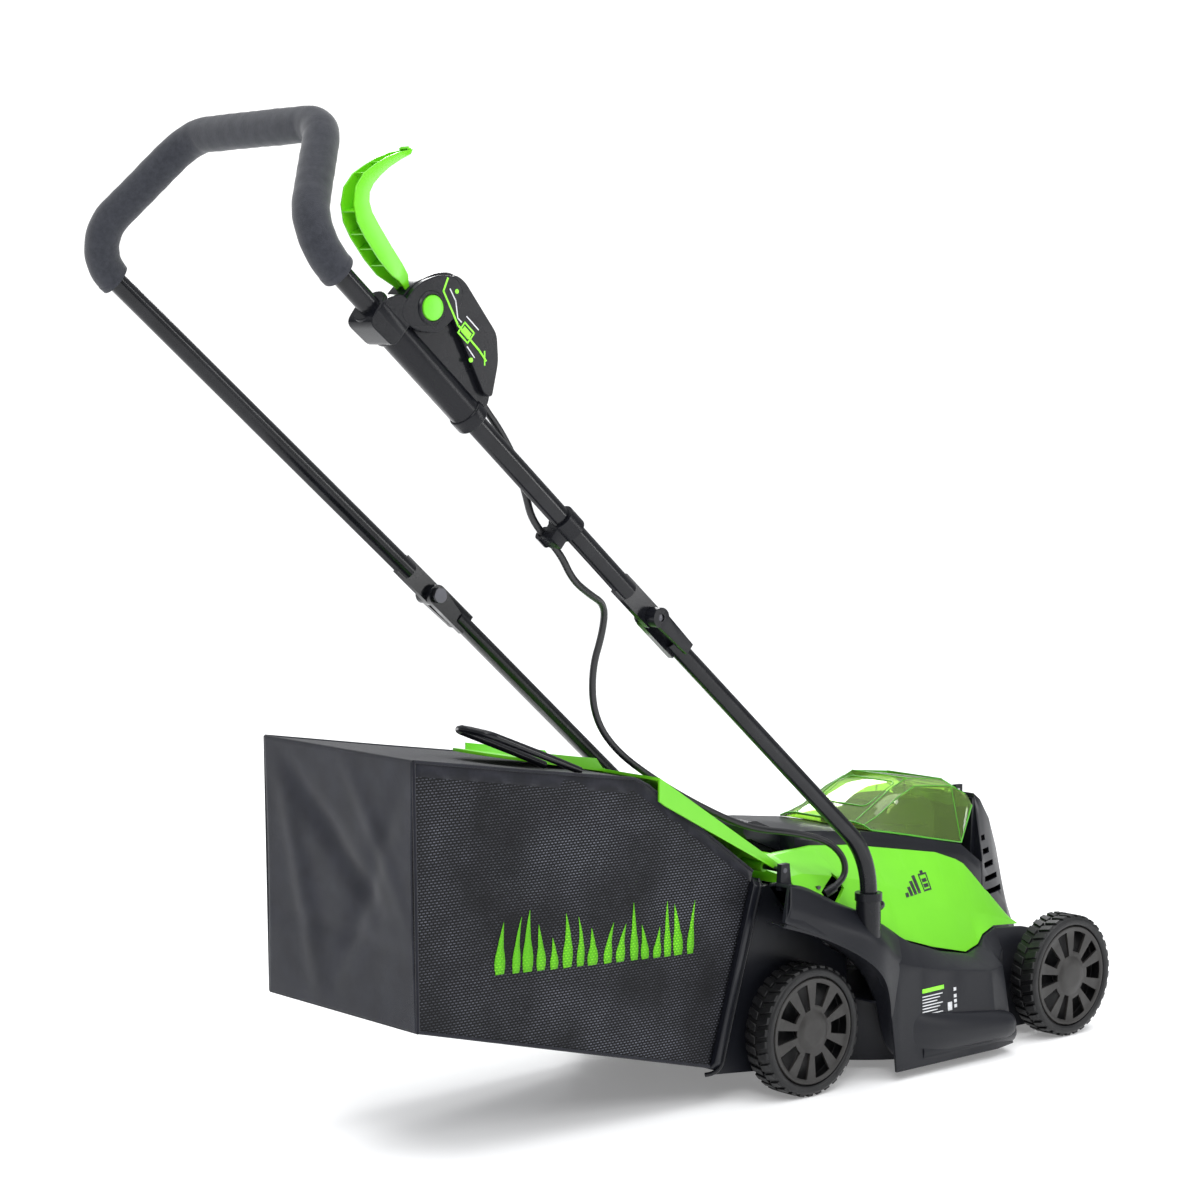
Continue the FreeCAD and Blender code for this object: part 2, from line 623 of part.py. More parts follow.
def make_axles():
    radius = value("axle_radius")
    bearing_z = value("wheel_radius-crank_drop")
    arm_angle = math.radians(55)
    for end, station in AXLES.items():
        bar = pipe(route(crank_points(station), [6] * 4), radius)
        if end == "front":
            bearing = Vector(value(station) + value("crank_forward"), 134, bearing_z)
            tip = bearing + Vector(math.cos(arm_angle), 0, math.sin(arm_angle)) * value("link_radius")
            arm = link_plate(bearing, tip, 5, 9)
            hole = cylinder((tip.x, 137, tip.z), (0, 1, 0), value("link_pin")+0.08, 20)
            bar = bar.fuse(arm).cut(hole).removeSplitter()
        feature("%s_axle_rod" % end, bar)
        nuts = []
        for side in (-1, 1):
            y = side * (value("wheel_outer_y-wheel_width") + 25.5)
            nut = Part.makePolygon([Vector(8.5 * math.cos(a * math.pi / 3), 0, 8.5 * math.sin(a * math.pi / 3))
                                    for a in range(7)])
            nut = Part.Face(nut).extrude(Vector(0, 5, 0))
            nut.translate(Vector(value(station), y - 2.5, value("wheel_radius")))
            nuts.append(nut.cut(cylinder((value(station), y, value("wheel_radius")), (0, 1, 0), radius, 20)))
        feature("%s_wheel_nuts" % end, Part.makeCompound(nuts))


def link_plate(start, tip, thick, half):
    """A flat round-ended bar between two centres; start is on its lower-Y face."""
    ahead = (tip - start).normalize()
    sideways = Vector(-ahead.z, 0, ahead.x) * half
    corners = [start + sideways, tip + sideways, tip - sideways, start - sideways, start + sideways]
    bar = Part.Face(Part.makePolygon(corners)).extrude(Vector(0, thick, 0))
    for centre in (start, tip):
        bar = bar.fuse(Part.makeCylinder(half, thick, centre, Vector(0, 1, 0)))
    return bar


def make_height_adjuster():
    arm_angle = math.radians(55)
    out = Vector(math.cos(arm_angle), 0, math.sin(arm_angle))
    bearing = Vector(value("crank_forward"), 134, value("wheel_radius-crank_drop"))
    tip = bearing + out * value("link_radius")
    # lever: a plate up beside the wheel, a step outwards, then up through the fender's slot
    lever_angle = math.radians(35)
    rise = Vector(math.cos(lever_angle), 0, math.sin(lever_angle))
    outwards = Vector(0, 29.5, 0)
    lower = link_plate(bearing, bearing + rise * 104, 5, 8)
    step_low = bearing + rise * 99
    corners = [step_low + rise * x + Vector(-rise.z, 0, rise.x) * z
               for x, z in ((0, 8), (6, 8), (6, -8), (0, -8), (0, 8))]
    step = Part.Face(Part.makePolygon(corners)).extrude(outwards + Vector(0, 5, 0))
    upper = link_plate(bearing + rise * 104 + outwards, bearing + rise * 248 + outwards, 5, 7)
    ear = link_plate(bearing, tip, 5, 8)
    bore = cylinder((bearing.x, 137, bearing.z), (0, 1, 0), value("axle_radius"), 40)
    hole = cylinder((tip.x, 137, tip.z), (0, 1, 0), value("link_pin") + 0.08, 20)
    lever = lower.fuse([step, upper, ear]).cut(bore).cut(hole).removeSplitter()
    feature("height_lever", lever)
    knob_centre = bearing + rise * 250 + outwards + Vector(0, 2.5, 0)
    knob = Part.makeSphere(10, knob_centre)
    slot = link_plate(bearing + rise * 225 + outwards, bearing + rise * 248 + outwards, 5, 7)
    feature("height_knob", knob.cut(slot))
    # link between the two axles
    reach = Vector(value("wheelbase"), 0, 0)
    rod_start = tip + Vector(0, -4.4, 0)
    link = link_plate(rod_start, rod_start + reach, 4, 5)
    for centre in (rod_start, rod_start + reach):
        link = link.fuse(Part.makeCylinder(value("link_pin"), 9.8, centre, Vector(0, 1, 0)))
    feature("link_rod", link.removeSplitter())
    clamps = []
    for station in AXLES.values():
        for side in (-1, 1):
            spot = (value(station) + value("crank_forward"), side * 116.0, value("wheel_radius-crank_drop"))
            block = Part.makeBox(20, 10, 15, Vector(spot[0] - 10, spot[1] - 5, spot[2] - 7.5))
            clamps.append(block.cut(cylinder(spot, (0, 1, 0), value("axle_radius") + 0.06, 30)))
    feature("axle_clamps", Part.makeCompound(clamps))


# ------------------------------------------------------------------ handle

def arm_point(reach, rise=0.0):
    """A point in the side view, so far up the sloping arm and so far forward of it."""
    slope = math.radians(value("arm_slope"))
    x = value("socket_x") - reach * math.cos(slope) + rise * math.sin(slope)
    z = value("corner_z") + reach * math.sin(slope) + rise * math.cos(slope)
    return x, z


def arm_rotation(spread=0.0):
    """Local X runs up the arm, local Z square to it and forward, local Y towards the mower's right."""
    slope = math.radians(value("arm_slope"))
    along = Vector(-math.cos(slope), -spread, math.sin(slope))
    square = Vector(math.sin(slope), 0, math.cos(slope))
    return Rotation(along, Vector(0, -1, 0), square, "XZY")


def arm_spread():
    """How much the upper tubes move apart for each unit along the arm."""
    run = value("arm_reach-pivot_reach")
    return (value("grip_y-lower_y") - 4) / run


def arm_side(reach):
    """How far the upper tube's centre line is from the machine's middle, so far up the arm."""
    return value("lower_y") + 4 + arm_spread() * (reach - value("pivot_reach") - 44)


def flat_end(side, low, high, centre, angle_sign, length):
    """The pressed-flat end of a tube, round the fold pivot: a plate along the arm."""
    rotation = arm_rotation()
    along = rotation.multVec(Vector(1, 0, 0)) * angle_sign
    square = rotation.multVec(Vector(0, 0, 1)) * 12.5
    near, far = sorted((side * low, side * high))
    start = Vector(centre[0], near, centre[1])
    tip = start + along * length
    corners = [start + square, tip + square, tip - square, start - square, start + square]
    bar = Part.Face(Part.makePolygon(corners)).extrude(Vector(0, far - near, 0))
    bar = bar.fuse(Part.makeCylinder(12.5, far - near, start, Vector(0, 1, 0)))
    return bar


def make_handle():
    pivot = arm_point(value("pivot_reach"))
    pin_y = value("lower_y")
    tube = value("tube_radius")
    wall = value("tube_wall")
    lower = []
    corner = (value("socket_x"), value("corner_z"))
    stop = arm_point(value("pivot_reach") - 42)
    points = [(corner[0], pin_y, 178), (corner[0], pin_y, corner[1]), (stop[0], pin_y, stop[1])]
    wire = route(points, [95])
    bar = pipe(wire, tube).cut(pipe(wire, tube - wall))
    end = flat_end(1, pin_y - 7.5, pin_y - 0.15, pivot, -1, 58)
    end = end.cut(cylinder((pivot[0], pin_y, pivot[1]), (0, 1, 0), value("fold_pin"), 60))
    screw_hole = cylinder((corner[0] + tube, pin_y, 212), (1, 0, 0), 2.55, tube)
    left = bar.fuse(end).cut(screw_hole).removeSplitter()
    feature("lower_tube_left", left)
    feature("lower_tube_right", mirrored(left))
    # upper tube: one bent loop from pivot to pivot
    thick = value("upper_tube_radius")
    start = arm_point(value("pivot_reach") + 44)
    elbow = arm_point(value("arm_reach") + 44)
    top = (value("grip_top_x"), value("grip_top_z"))
    side_y = value("grip_y")
    start_y = pin_y + 4
    half = [(start[0], start_y, start[1]), (elbow[0], side_y, elbow[1]),
            (top[0], value("grip_top_y"), top[1])]
    loop = [(x, -y, z) for x, y, z in half] + half[::-1]
    wire = route(loop, [54, 52, 52, 54])
    bar = pipe(wire, thick).cut(pipe(wire, thick - wall))
    for side in (-1, 1):
        end = flat_end(side, pin_y + 0.15, pin_y + 7.5, pivot, 1, 60)
        hole = cylinder((pivot[0], side * pin_y, pivot[1]), (0, 1, 0), value("fold_pin") + 0.06, 60)
        bar = bar.fuse(end.cut(hole))
    feature("upper_tube", bar.removeSplitter())
    # foam sleeve over the loop
    foam_start = arm_point(value("arm_reach") - 8)
    share = (value("arm_reach") - 8 - value("pivot_reach") - 44) / (value("arm_reach") - 10 - value("pivot_reach"))
    foam_y = start_y + (side_y - start_y) * share
    half[0] = (foam_start[0], foam_y, foam_start[1])
    loop = [(x, -y, z) for x, y, z in half] + half[::-1]
    wire = route(loop, [54, 52, 52, 54])
    sleeve = pipe(wire, value("grip_radius")).cut(pipe(wire, thick + 0.3))
    feature("foam_grip", sleeve)
    pins = []
    levers = {}
    for side, name in ((-1, "right"), (1, "left")):
        inner = cylinder((pivot[0], side * (pin_y - 10.6), pivot[1]), (0, 1, 0), 9, 5.6)
        pin = cylinder((pivot[0], side * (pin_y + 6), pivot[1]), (0, 1, 0), value("fold_pin"), 28)
        pins.append(inner.fuse(pin).removeSplitter())
        levers[name] = make_cam(side, pivot, pin_y)
    feature("fold_pins", Part.makeCompound(pins))
    for name, shape in levers.items():
        feature("cam_lever_" + name, shape)


def make_cam(side, pivot, pin_y):
    """Quick-release lever on the outboard end of a fold pin, lying down along the tube."""
    rotation = arm_rotation()
    down = rotation.multVec(Vector(-1, 0, 0))
    square = rotation.multVec(Vector(0, 0, 1))
    near = side * (pin_y + 8.2)
    centre = Vector(pivot[0], near, pivot[1])
    outward = Vector(0, side, 0)
    hub = Part.makeCylinder(11, 13, centre, outward)
    start = centre + outward * 6
    tip = start + down * 56
    wide, narrow = square * 9, square * 6.5
    blade = Part.Face(Part.makePolygon([start + wide, tip + narrow, tip - narrow, start - wide, start + wide]))
    handle = blade.extrude(outward * 6)
    bore = cylinder((pivot[0], side * (pin_y + 10), pivot[1]), (0, 1, 0), value("fold_pin") + 0.06, 60)
    return hub.fuse(handle).cut(bore).removeSplitter()


def make_switch_box():
    """Two half shells round the right arm, with the start button and the bail lever's seat."""
    rotation = arm_rotation(arm_spread())
    origin = arm_point(value("arm_reach"))
    base = (str(origin[0]), str(-arm_side(value("arm_reach"))), str(origin[1]))
    # local X runs up the arm; the box sits below the grip, so its X is negative
    outline = [("-72", "-22"), ("-72", "40"), ("-84", "70"), ("-100", "88"), ("-118", "90"),
               ("-186", "77"), ("-206", "56"), ("-230", "14"), ("-230", "-20"), ("-190", "-23")]
    hollow = [("-78", "16"), ("-78", "40"), ("-90", "66"), ("-102", "83"), ("-116", "85"),
              ("-182", "72"), ("-200", "54"), ("-218", "20"), ("-180", "16")]
    for name, low, high, inside_low, inside_high in (
            ("switch_box_outer", "0.1", "20.5", "0", "17"), ("switch_box_inner", "-22", "-0.1", "-18", "0")):
        half = Piece(name, rotation, base)
        half.add("XZ", low, high, outline)
        half.cut("XZ", inside_low, inside_high, hollow)
        half.cut("YZ", "-260", "-60", ("0", "0", "upper_tube_radius+0.15"))
        if name == "switch_box_outer":
            half.cut("XZ", "10", "30", ("-105", "40", "button_radius+0.35"))
        half.cut("XZ", "-13.5", "13.5", box("-101", "-60", "24", "98"))
        half.cut("YZ", "-240", "-198", ("-4.6", "25.1", "cable_radius+1.9"))
    button = Piece("start_button", rotation, base)
    button.add("XZ", "16.6", "22.4", ("-105", "40", "button_radius"))
    button.add("XZ", "15", "16.7", ("-105", "40", "button_radius+1"))
    switch = Piece("micro_switch", rotation, base)
    switch.add("XZ", "-9", "9", box("-150", "-122", "42", "60"))
    switch.add("XZ", "-13", "-9", ("-128", "51", "3"))
    pin = Piece("bail_pin", rotation, base)
    pin.add("XZ", "-17.9", "16.9", ("-86", "45", "3"))
    return rotation, base


def make_bail(rotation, base):
    """Ribbed channel lever: up along the grip, then bent forward over it."""
    bail = Piece("bail_lever", rotation, base)
    back = [("-91", "38"), ("-77", "41"), ("-66", "48"), ("-40", "52.5"), ("-8", "59.5"), ("12", "65.5"),
            ("21", "74"), ("24", "86"), ("21", "108"), ("12", "130"), ("5", "141"), ("8", "145"),
            ("13", "142"), ("26", "112"), ("31.5", "88"), ("29", "72"), ("20", "58"), ("6", "50"),
            ("-40", "39"), ("-66", "34.5"), ("-84", "33"), ("-90", "33")]
    bail.add("XZ", "-12.5", "12.5", back)
    bail.add("XZ", "-12.5", "12.5", ("-86", "45", "7"))
    bail.cut("XZ", "-10.2", "10.2", [("-60", "33"), ("-60", "45"), ("-38", "49.5"), ("-8", "56.5"),
                                     ("10", "62.5"), ("18.5", "74"), ("21.5", "87"), ("18", "108"),
                                     ("40", "112"), ("36", "60"), ("20", "46"), ("-40", "34")])
    for spot in (-42, -18, 6):
        low = 40 + (spot + 42) * 0.23
        bail.add("XZ", "-11", "11", box(spot, spot + 2, low, low + 10.5))
    bail.cut("XZ", "-20", "20", ("-86", "45", "3.06"))
    bail.cut("XY", "30", "160", [("0", "-14"), ("90", "-14"), ("90", "-5.5"), ("45", "-5.5"), ("20", "-10")])
    spring = Piece("bail_spring", rotation, base)
    spring.add("XZ", "13.8", "16.6", ("-86", "45", "4.2"))
    spring.cut("XZ", "10", "20", ("-86", "45", "3.2"))


def make_clip():
    """Clip round the right upper tube with an eye for the cable."""
    rotation = arm_rotation(arm_spread())
    origin = arm_point(value("clip_reach"))
    base = (str(origin[0]), str(-arm_side(value("clip_reach"))), str(origin[1]))
    clip = Piece("cable_clip", rotation, base)
    clip.add("YZ", "-11", "11", ("0", "0", "15"))
    clip.add("XY", "-26", "-8", box("-9", "9", "-14", "4"))
    clip.add("YZ", "-7", "7", ("-18", "-19", "8.5"))
    clip.cut("YZ", "-30", "30", ("0", "0", "upper_tube_radius+0.06"))
    clip.cut("YZ", "-30", "30", ("-18", "-19", "cable_radius+0.9"))


def make_sockets():
    x = value("socket_x")
    top = value("socket_top")
    sockets = []
    for side in (-1, 1):
        y = side * value("lower_y")
        socket = cylinder((x, y, (160 + top) / 2), (0, 0, 1), 14.5, top - 160)
        socket = socket.fuse(cylinder((x, y, top - 4.5), (0, 0, 1), 16, 9))
        socket = socket.fuse(cylinder((x + 14.5, y, 212), (1, 0, 0), 6.5, 9))
        socket = socket.cut(cylinder((x, y, 177 + 40), (0, 0, 1), value("tube_radius") + 0.06, 80))
        sockets.append(socket.cut(cylinder((x + 17, y, 212), (1, 0, 0), 2.5, 25)).removeSplitter())
    feature("handle_sockets", Part.makeCompound(sockets))


# ------------------------------------------------------------------ grass bag

BAG_SIDE = [("-540", "441"), ("-228", "384"), ("-56.4", "262"), ("-122.4", "46.5"), ("-536", "155")]


def make_bag():
    half = "bag_half_width"
    side_outline = Part.makePolygon([Vector(float(x), 0, float(z)) for x, z in BAG_SIDE + BAG_SIDE[:1]])
    left = Part.Face(side_outline).extrude(Vector(0, value("cloth"), 0))
    left.translate(Vector(0, value("bag_half_width-cloth"), 0))
    feature("bag_sides", Part.makeCompound([left, mirrored(left)]))
    inner = "%s-cloth-0.05" % half
    top = Piece("bag_top")
    top.add("XZ", minus(inner), inner, [("-540", "441"), ("-228", "384"), ("-52", "262"),
                                        ("-54", "259.5"), ("-229", "381.4"), ("-537.6", "438")])
    rear = Piece("bag_rear")
    rear.add("XZ", minus(inner), inner, [("-540", "440.9"), ("-536", "155"), ("-533.6", "157.2"),
                                         ("-537.5", "437.8")])
    floor = Piece("bag_floor")
    floor.add("XZ", minus(inner), inner, [("-535.9", "154.9"), ("-122.4", "47"), ("-121.6", "49.6"),
                                          ("-533.4", "157")])
    tilt = Rotation(Vector(0, 1, 0), 17)
    frame = Piece("bag_frame", tilt, ("-113", "0", "41"))
    rim = [("-134", "0"), ("134", "0"), ("141", "8"), ("141", "214"), ("134", "222"), ("-134", "222"),
           ("-141", "214"), ("-141", "8")]
    frame.add("YZ", "-10", "0", rim)
    frame.cut("YZ", "-12", "2", box("-121", "121", "19", "206"))
    handle = route([(-303, -120, 399.4), (-345, -119, 417), (-426, -117, 449), (-440, -90, 454),
                    (-426, -63, 449), (-345, -61, 417), (-303, -60, 399.4)], [90, 16, 14, 16, 90])
    feature("bag_handle", pipe(handle, 4.2))


# ------------------------------------------------------------------ cable and fixings

CABLE_ROUTE = [
    (-506, -193, 812), (-492, -190, 796), (-462, -181, 770), (-436, -174, 738), (-422, -172, 706),
    (-415, -175, 674.5), (-378, -175, 642.5), (-355, -168, 612), (-322, -158, 594), (-286, -142, 580), (-276, -126, 548),
    (-281, -114, 508), (-272, -106, 456), (-236, -100, 414), (-176, -102, 374), (-110, -110, 337),
    (-50, -122, 309), (6, -136, 301), (54, -146, 287), (80, -149, 262), (78, -148, 236), (52, -144, 225.8),
]


def make_cable():
    spots = [Vector(*point) for point in CABLE_ROUTE]
    radii = []
    for before, corner, after in zip(spots, spots[1:], spots[2:]):
        back, ahead = before - corner, after - corner
        half_turn = (math.pi - back.getAngle(ahead)) / 2
        radii.append(0.45 * min(back.Length, ahead.Length) / math.tan(half_turn))
    print("cable radii", [round(radius) for radius in radii])
    wire = route(CABLE_ROUTE, radii)
    cable = pipe(wire, value("cable_radius"))
    expected = math.pi * value("cable_radius") ** 2 * wire.Length
    print("cable length", round(wire.Length), "volume ratio", round(cable.Volume / expected, 3))
    feature("power_cable", cable)
    relief_route = Vector(*CABLE_ROUTE[-1]) - Vector(*CABLE_ROUTE[-2])
    heading = relief_route.normalize()
    foot = Vector(*CABLE_ROUTE[-1]) - heading * 14
    bore = Part.makeCylinder(value("cable_radius") + 0.1, 60, foot - heading * 20, heading)
    relief = Part.makeCone(5.4, 7, 18, foot, heading).cut(bore)
    feature("strain_relief", relief)


def make_screws():
    """Screws of the handle sockets and of the motor cover."""
    screws = []
    socket_x = value("socket_x") + 14
    for side in (-1, 1):
        spot = (socket_x, side * value("lower_y"), 212)
        shank = cylinder(spot, (1, 0, 0), 2.5, 11)
        head = cylinder((spot[0] + 7.1, spot[1], spot[2]), (1, 0, 0), 4.6, 3.4)
        screws.append(shank.fuse(head).removeSplitter())
    for x, y, z in ((30, 152, 238), (30, -152, 238)):
        shank = cylinder((x, y, z - 7), (0, 0, 1), 2, 26)
        head = cylinder((x, y, z + 7), (0, 0, 1), 4, 3)
        screws.append(shank.fuse(head).removeSplitter())
    feature("body_screws", Part.makeCompound(screws))


make_deck()
make_motor_cover()
make_battery_housing()
make_battery_lid()
make_battery()
make_flap()
make_cutter()
for end_name in AXLES:
    for side_name in OUTWARD:
        make_wheel(end_name, side_name)
make_axles()
make_height_adjuster()
make_handle()
make_bail(*make_switch_box())
make_clip()
make_sockets()
make_bag()
make_cable()
make_screws()
lid_pin = Piece("lid_pin")
lid_pin.add("XZ", "-46", "46", ("lid_x", "lid_z", "lid_pin_radius"))
document.recompute()

subparts = []
for item in document.Objects:
    if "Invalid" in item.State or "Error" in item.State:
        raise RuntimeError("%s failed" % item.Name)
    if item.TypeId in ("PartDesign::Body", "Part::Feature") and item.getParentGeoFeatureGroup() is None:
        if item.Shape.isNull() or not item.Shape.isValid():
            raise RuntimeError("%s has no valid shape" % item.Label)
        subparts.append(item)

os.makedirs("parts", exist_ok=True)
for item in subparts:
    item.Shape.exportStep("parts/%s.step" % item.Label)
    print(item.Label, len(item.Shape.Solids), round(item.Shape.Volume / 1000, 1))
print(len(subparts), "sub-parts")
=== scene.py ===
"""Looks of the cordless push mower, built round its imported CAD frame.

Metres, +X forward, +Y left, +Z up. Stations are millimetres counted from the rear wheel axle.
"""

import json
import math
import random

import bmesh
import bpy
from mathutils import Matrix, Vector, noise
from mathutils.bvhtree import BVHTree

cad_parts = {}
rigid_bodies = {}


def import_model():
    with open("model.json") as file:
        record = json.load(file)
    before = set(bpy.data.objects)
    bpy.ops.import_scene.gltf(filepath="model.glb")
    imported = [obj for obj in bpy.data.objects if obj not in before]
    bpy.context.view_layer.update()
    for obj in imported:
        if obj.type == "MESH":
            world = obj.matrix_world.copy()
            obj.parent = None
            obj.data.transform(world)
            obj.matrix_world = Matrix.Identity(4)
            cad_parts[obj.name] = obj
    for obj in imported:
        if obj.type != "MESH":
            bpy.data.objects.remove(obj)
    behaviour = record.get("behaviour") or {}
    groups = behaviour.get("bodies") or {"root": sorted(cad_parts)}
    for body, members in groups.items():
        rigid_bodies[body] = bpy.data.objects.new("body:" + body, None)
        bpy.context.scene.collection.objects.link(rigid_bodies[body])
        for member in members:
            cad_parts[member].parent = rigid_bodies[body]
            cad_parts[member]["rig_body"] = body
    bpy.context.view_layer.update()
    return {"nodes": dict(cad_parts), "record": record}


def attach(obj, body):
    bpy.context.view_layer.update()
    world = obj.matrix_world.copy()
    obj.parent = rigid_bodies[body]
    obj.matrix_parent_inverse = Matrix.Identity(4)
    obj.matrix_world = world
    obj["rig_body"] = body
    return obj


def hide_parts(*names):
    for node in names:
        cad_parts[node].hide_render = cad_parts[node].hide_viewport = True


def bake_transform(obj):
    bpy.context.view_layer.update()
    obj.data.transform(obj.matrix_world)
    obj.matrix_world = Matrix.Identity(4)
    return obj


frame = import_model()
nodes = frame["nodes"]
scene = bpy.context.scene

MM = 0.001
REAR_AXLE = 92.563
SLOPE = math.radians(40.8)
ARM_FOOT, ARM_ELBOW = 497, 1052
FOOT_SIDE, ELBOW_SIDE = 190.5, 202.5
SPREAD = (ELBOW_SIDE - FOOT_SIDE) / (ARM_ELBOW - ARM_FOOT)


def P(x, y, z):
    """A point in the frame from station, side and height in millimetres."""
    return Vector(((x + REAR_AXLE) * MM, y * MM, z * MM))


def arm(reach, side, rise=0.0):
    """A point so far up the sloping handle arm."""
    x = 79 - reach * math.cos(SLOPE) + rise * math.sin(SLOPE)
    z = 273 + reach * math.sin(SLOPE) + rise * math.cos(SLOPE)
    return P(x, side, z)


# ---- camera

EYE = P(-2318.3, -2466.2, 844.4)
YAW = math.radians(48.94)
PITCH = math.radians(4.80)

camera_data = bpy.data.cameras.new("view")
camera_data.lens = 86.56
camera_data.sensor_width = 36
camera = bpy.data.objects.new("view", camera_data)
scene.collection.objects.link(camera)
heading = Vector((math.cos(PITCH) * math.cos(YAW), math.cos(PITCH) * math.sin(YAW), -math.sin(PITCH)))
camera.location = EYE
camera.rotation_mode = "QUATERNION"
camera.rotation_quaternion = heading.to_track_quat("-Z", "Y")
scene.camera = camera
scene.view_settings.view_transform = "Standard"


# ---- materials

PAINTS = {}


class Paint:
    """A Principled material built up from object-space patterns."""

    def __init__(self, name, color, rough, metallic=0.0, specular=0.5, coat=0.0):
        self.material = bpy.data.materials.new(name)
        self.material.use_nodes = True
        PAINTS[name] = self.material
        self.tree = self.material.node_tree
        self.shader = self.tree.nodes["Principled BSDF"]
        self.shader.inputs["Base Color"].default_value = (*color, 1)
        self.shader.inputs["Roughness"].default_value = rough
        self.shader.inputs["Metallic"].default_value = metallic
        self.shader.inputs["Specular IOR Level"].default_value = specular
        self.shader.inputs["Coat Weight"].default_value = coat
        self.shader.inputs["Coat Roughness"].default_value = 0.12
        self.color = color
        self.rough = rough
        self.height = None
        self.coordinates = self.tree.nodes.new("ShaderNodeTexCoord").outputs["Object"]

    def node(self, kind, **values):
        made = self.tree.nodes.new(kind)
        for key, number in values.items():
            if hasattr(made, key):
                setattr(made, key, number)
            else:
                made.inputs[key.replace("_", " ")].default_value = number
        return made

    def link(self, out, into):
        self.tree.links.new(out, into)

    def place(self, scale, turn=(0, 0, 0)):
        mapping = self.node("ShaderNodeMapping", Scale=scale, Rotation=turn)
        self.link(self.coordinates, mapping.inputs["Vector"])
        return mapping.outputs["Vector"]

    def noise(self, scale, detail=2.0, rough=0.5, source=None):
        made = self.node("ShaderNodeTexNoise", Scale=scale, Detail=detail, Roughness=rough)
        self.link(source or self.coordinates, made.inputs["Vector"])
        return made.outputs["Fac"]

    def ramp(self, source, low, high, first=(0, 0, 0), last=(1, 1, 1)):
        made = self.node("ShaderNodeValToRGB")
        for stop, position, color in zip(made.color_ramp.elements, (low, high), (first, last)):
            stop.position = position
            stop.color = (*color, 1)
        self.link(source, made.inputs["Fac"])
        return made.outputs["Color"]

    def math(self, operation, first, second):
        made = self.node("ShaderNodeMath", operation=operation)
        for socket, number in zip(made.inputs, (first, second)):
            if isinstance(number, (int, float)):
                socket.default_value = number
            else:
                self.link(number, socket)
        return made.outputs["Value"]

    def shade(self, source, other, low=0.35, high=0.65):
        """Mix the base colour with another by a pattern."""
        color = self.ramp(source, low, high, self.color, other)
        self.link(color, self.shader.inputs["Base Color"])
        return self

    def gloss(self, source, spread):
        """Let roughness wander round its value."""
        made = self.node("ShaderNodeMapRange", To_Min=max(0.02, self.rough - spread),
                         To_Max=min(1.0, self.rough + spread))
        self.link(source, made.inputs["Value"])
        self.link(made.outputs["Result"], self.shader.inputs["Roughness"])
        return self

    def bump(self, source, depth, strength=1.0):
        made = self.node("ShaderNodeBump", Strength=strength, Distance=depth)
        self.link(source, made.inputs["Height"])
        if self.height is not None:
            self.link(self.height, made.inputs["Normal"])
        self.height = made.outputs["Normal"]
        self.link(self.height, self.shader.inputs["Normal"])
        return self


def plastic(name, color, rough, grain=1500, depth=0.00004, worn=None, specular=0.5):
    """Moulded plastic: fine grain, faint flow marks and slightly lighter patches."""
    paint = Paint(name, color, rough, specular=specular)
    paint.gloss(paint.noise(14, 4), 0.06)
    paint.shade(paint.noise(9, 5, 0.6), worn or [channel * 1.25 + 0.002 for channel in color], 0.35, 0.8)
    paint.bump(paint.noise(grain, 2), depth, 0.6)
    paint.bump(paint.noise(22, 1), 0.0004, 0.05)
    return paint.material


def metal(name, color, rough, streak=(1, 1, 1)):
    """Bare metal with a fine grain, drawn out along one axis where it was ground or wound."""
    paint = Paint(name, color, rough, metallic=1.0)
    paint.gloss(paint.noise(400, 3, 0.6, paint.place(streak)), 0.1)
    paint.bump(paint.noise(900, 2, 0.5, paint.place(streak)), 0.00003, 0.5)
    return paint.material


deck_black = plastic("deck_black", (0.0068, 0.0074, 0.0106), 0.38, 1900, 0.00005, specular=0.24)
plastic("housing_black", (0.0058, 0.0064, 0.0096), 0.30, 1900, 0.00004, specular=0.28)
plastic("cover_green", (0.150, 0.600, 0.012), 0.34, 1600, 0.00003, (0.175, 0.66, 0.016))
dark_pin = metal("dark_pin", (0.09, 0.09, 0.10), 0.34)
bail_green = plastic("bail_green", (0.145, 0.62, 0.010), 0.24, 1500, 0.00002, (0.165, 0.68, 0.014))
button_green = plastic("button_green", (0.14, 0.60, 0.02), 0.32, 2000, 0.00003)
switch_black = plastic("switch_black", (0.0050, 0.0054, 0.0076), 0.27, 2200, 0.00005, specular=0.22)
plastic("battery_dark", (0.012, 0.014, 0.012), 0.45, 1800, 0.00004)
plastic("key_red", (0.72, 0.10, 0.015), 0.3)
plastic("board_green", (0.02, 0.14, 0.05), 0.4)
metal("blade_steel", (0.36, 0.37, 0.39), 0.36, (1, 12, 1))
metal("steel", (0.52, 0.52, 0.54), 0.3)
metal("copper", (0.62, 0.28, 0.10), 0.32, (1, 1, 14))


def tube_paint():
    """Gloss powder coat: a clear top over black with a fine orange peel."""
    paint = Paint("tube_black", (0.0040, 0.0044, 0.006), 0.22, specular=0.24, coat=0.12)
    paint.gloss(paint.noise(30, 3), 0.05)
    paint.bump(paint.noise(260, 1), 0.00003, 0.10)
    paint.shade(paint.noise(40, 4), (0.0085, 0.009, 0.0115))
    return paint.material


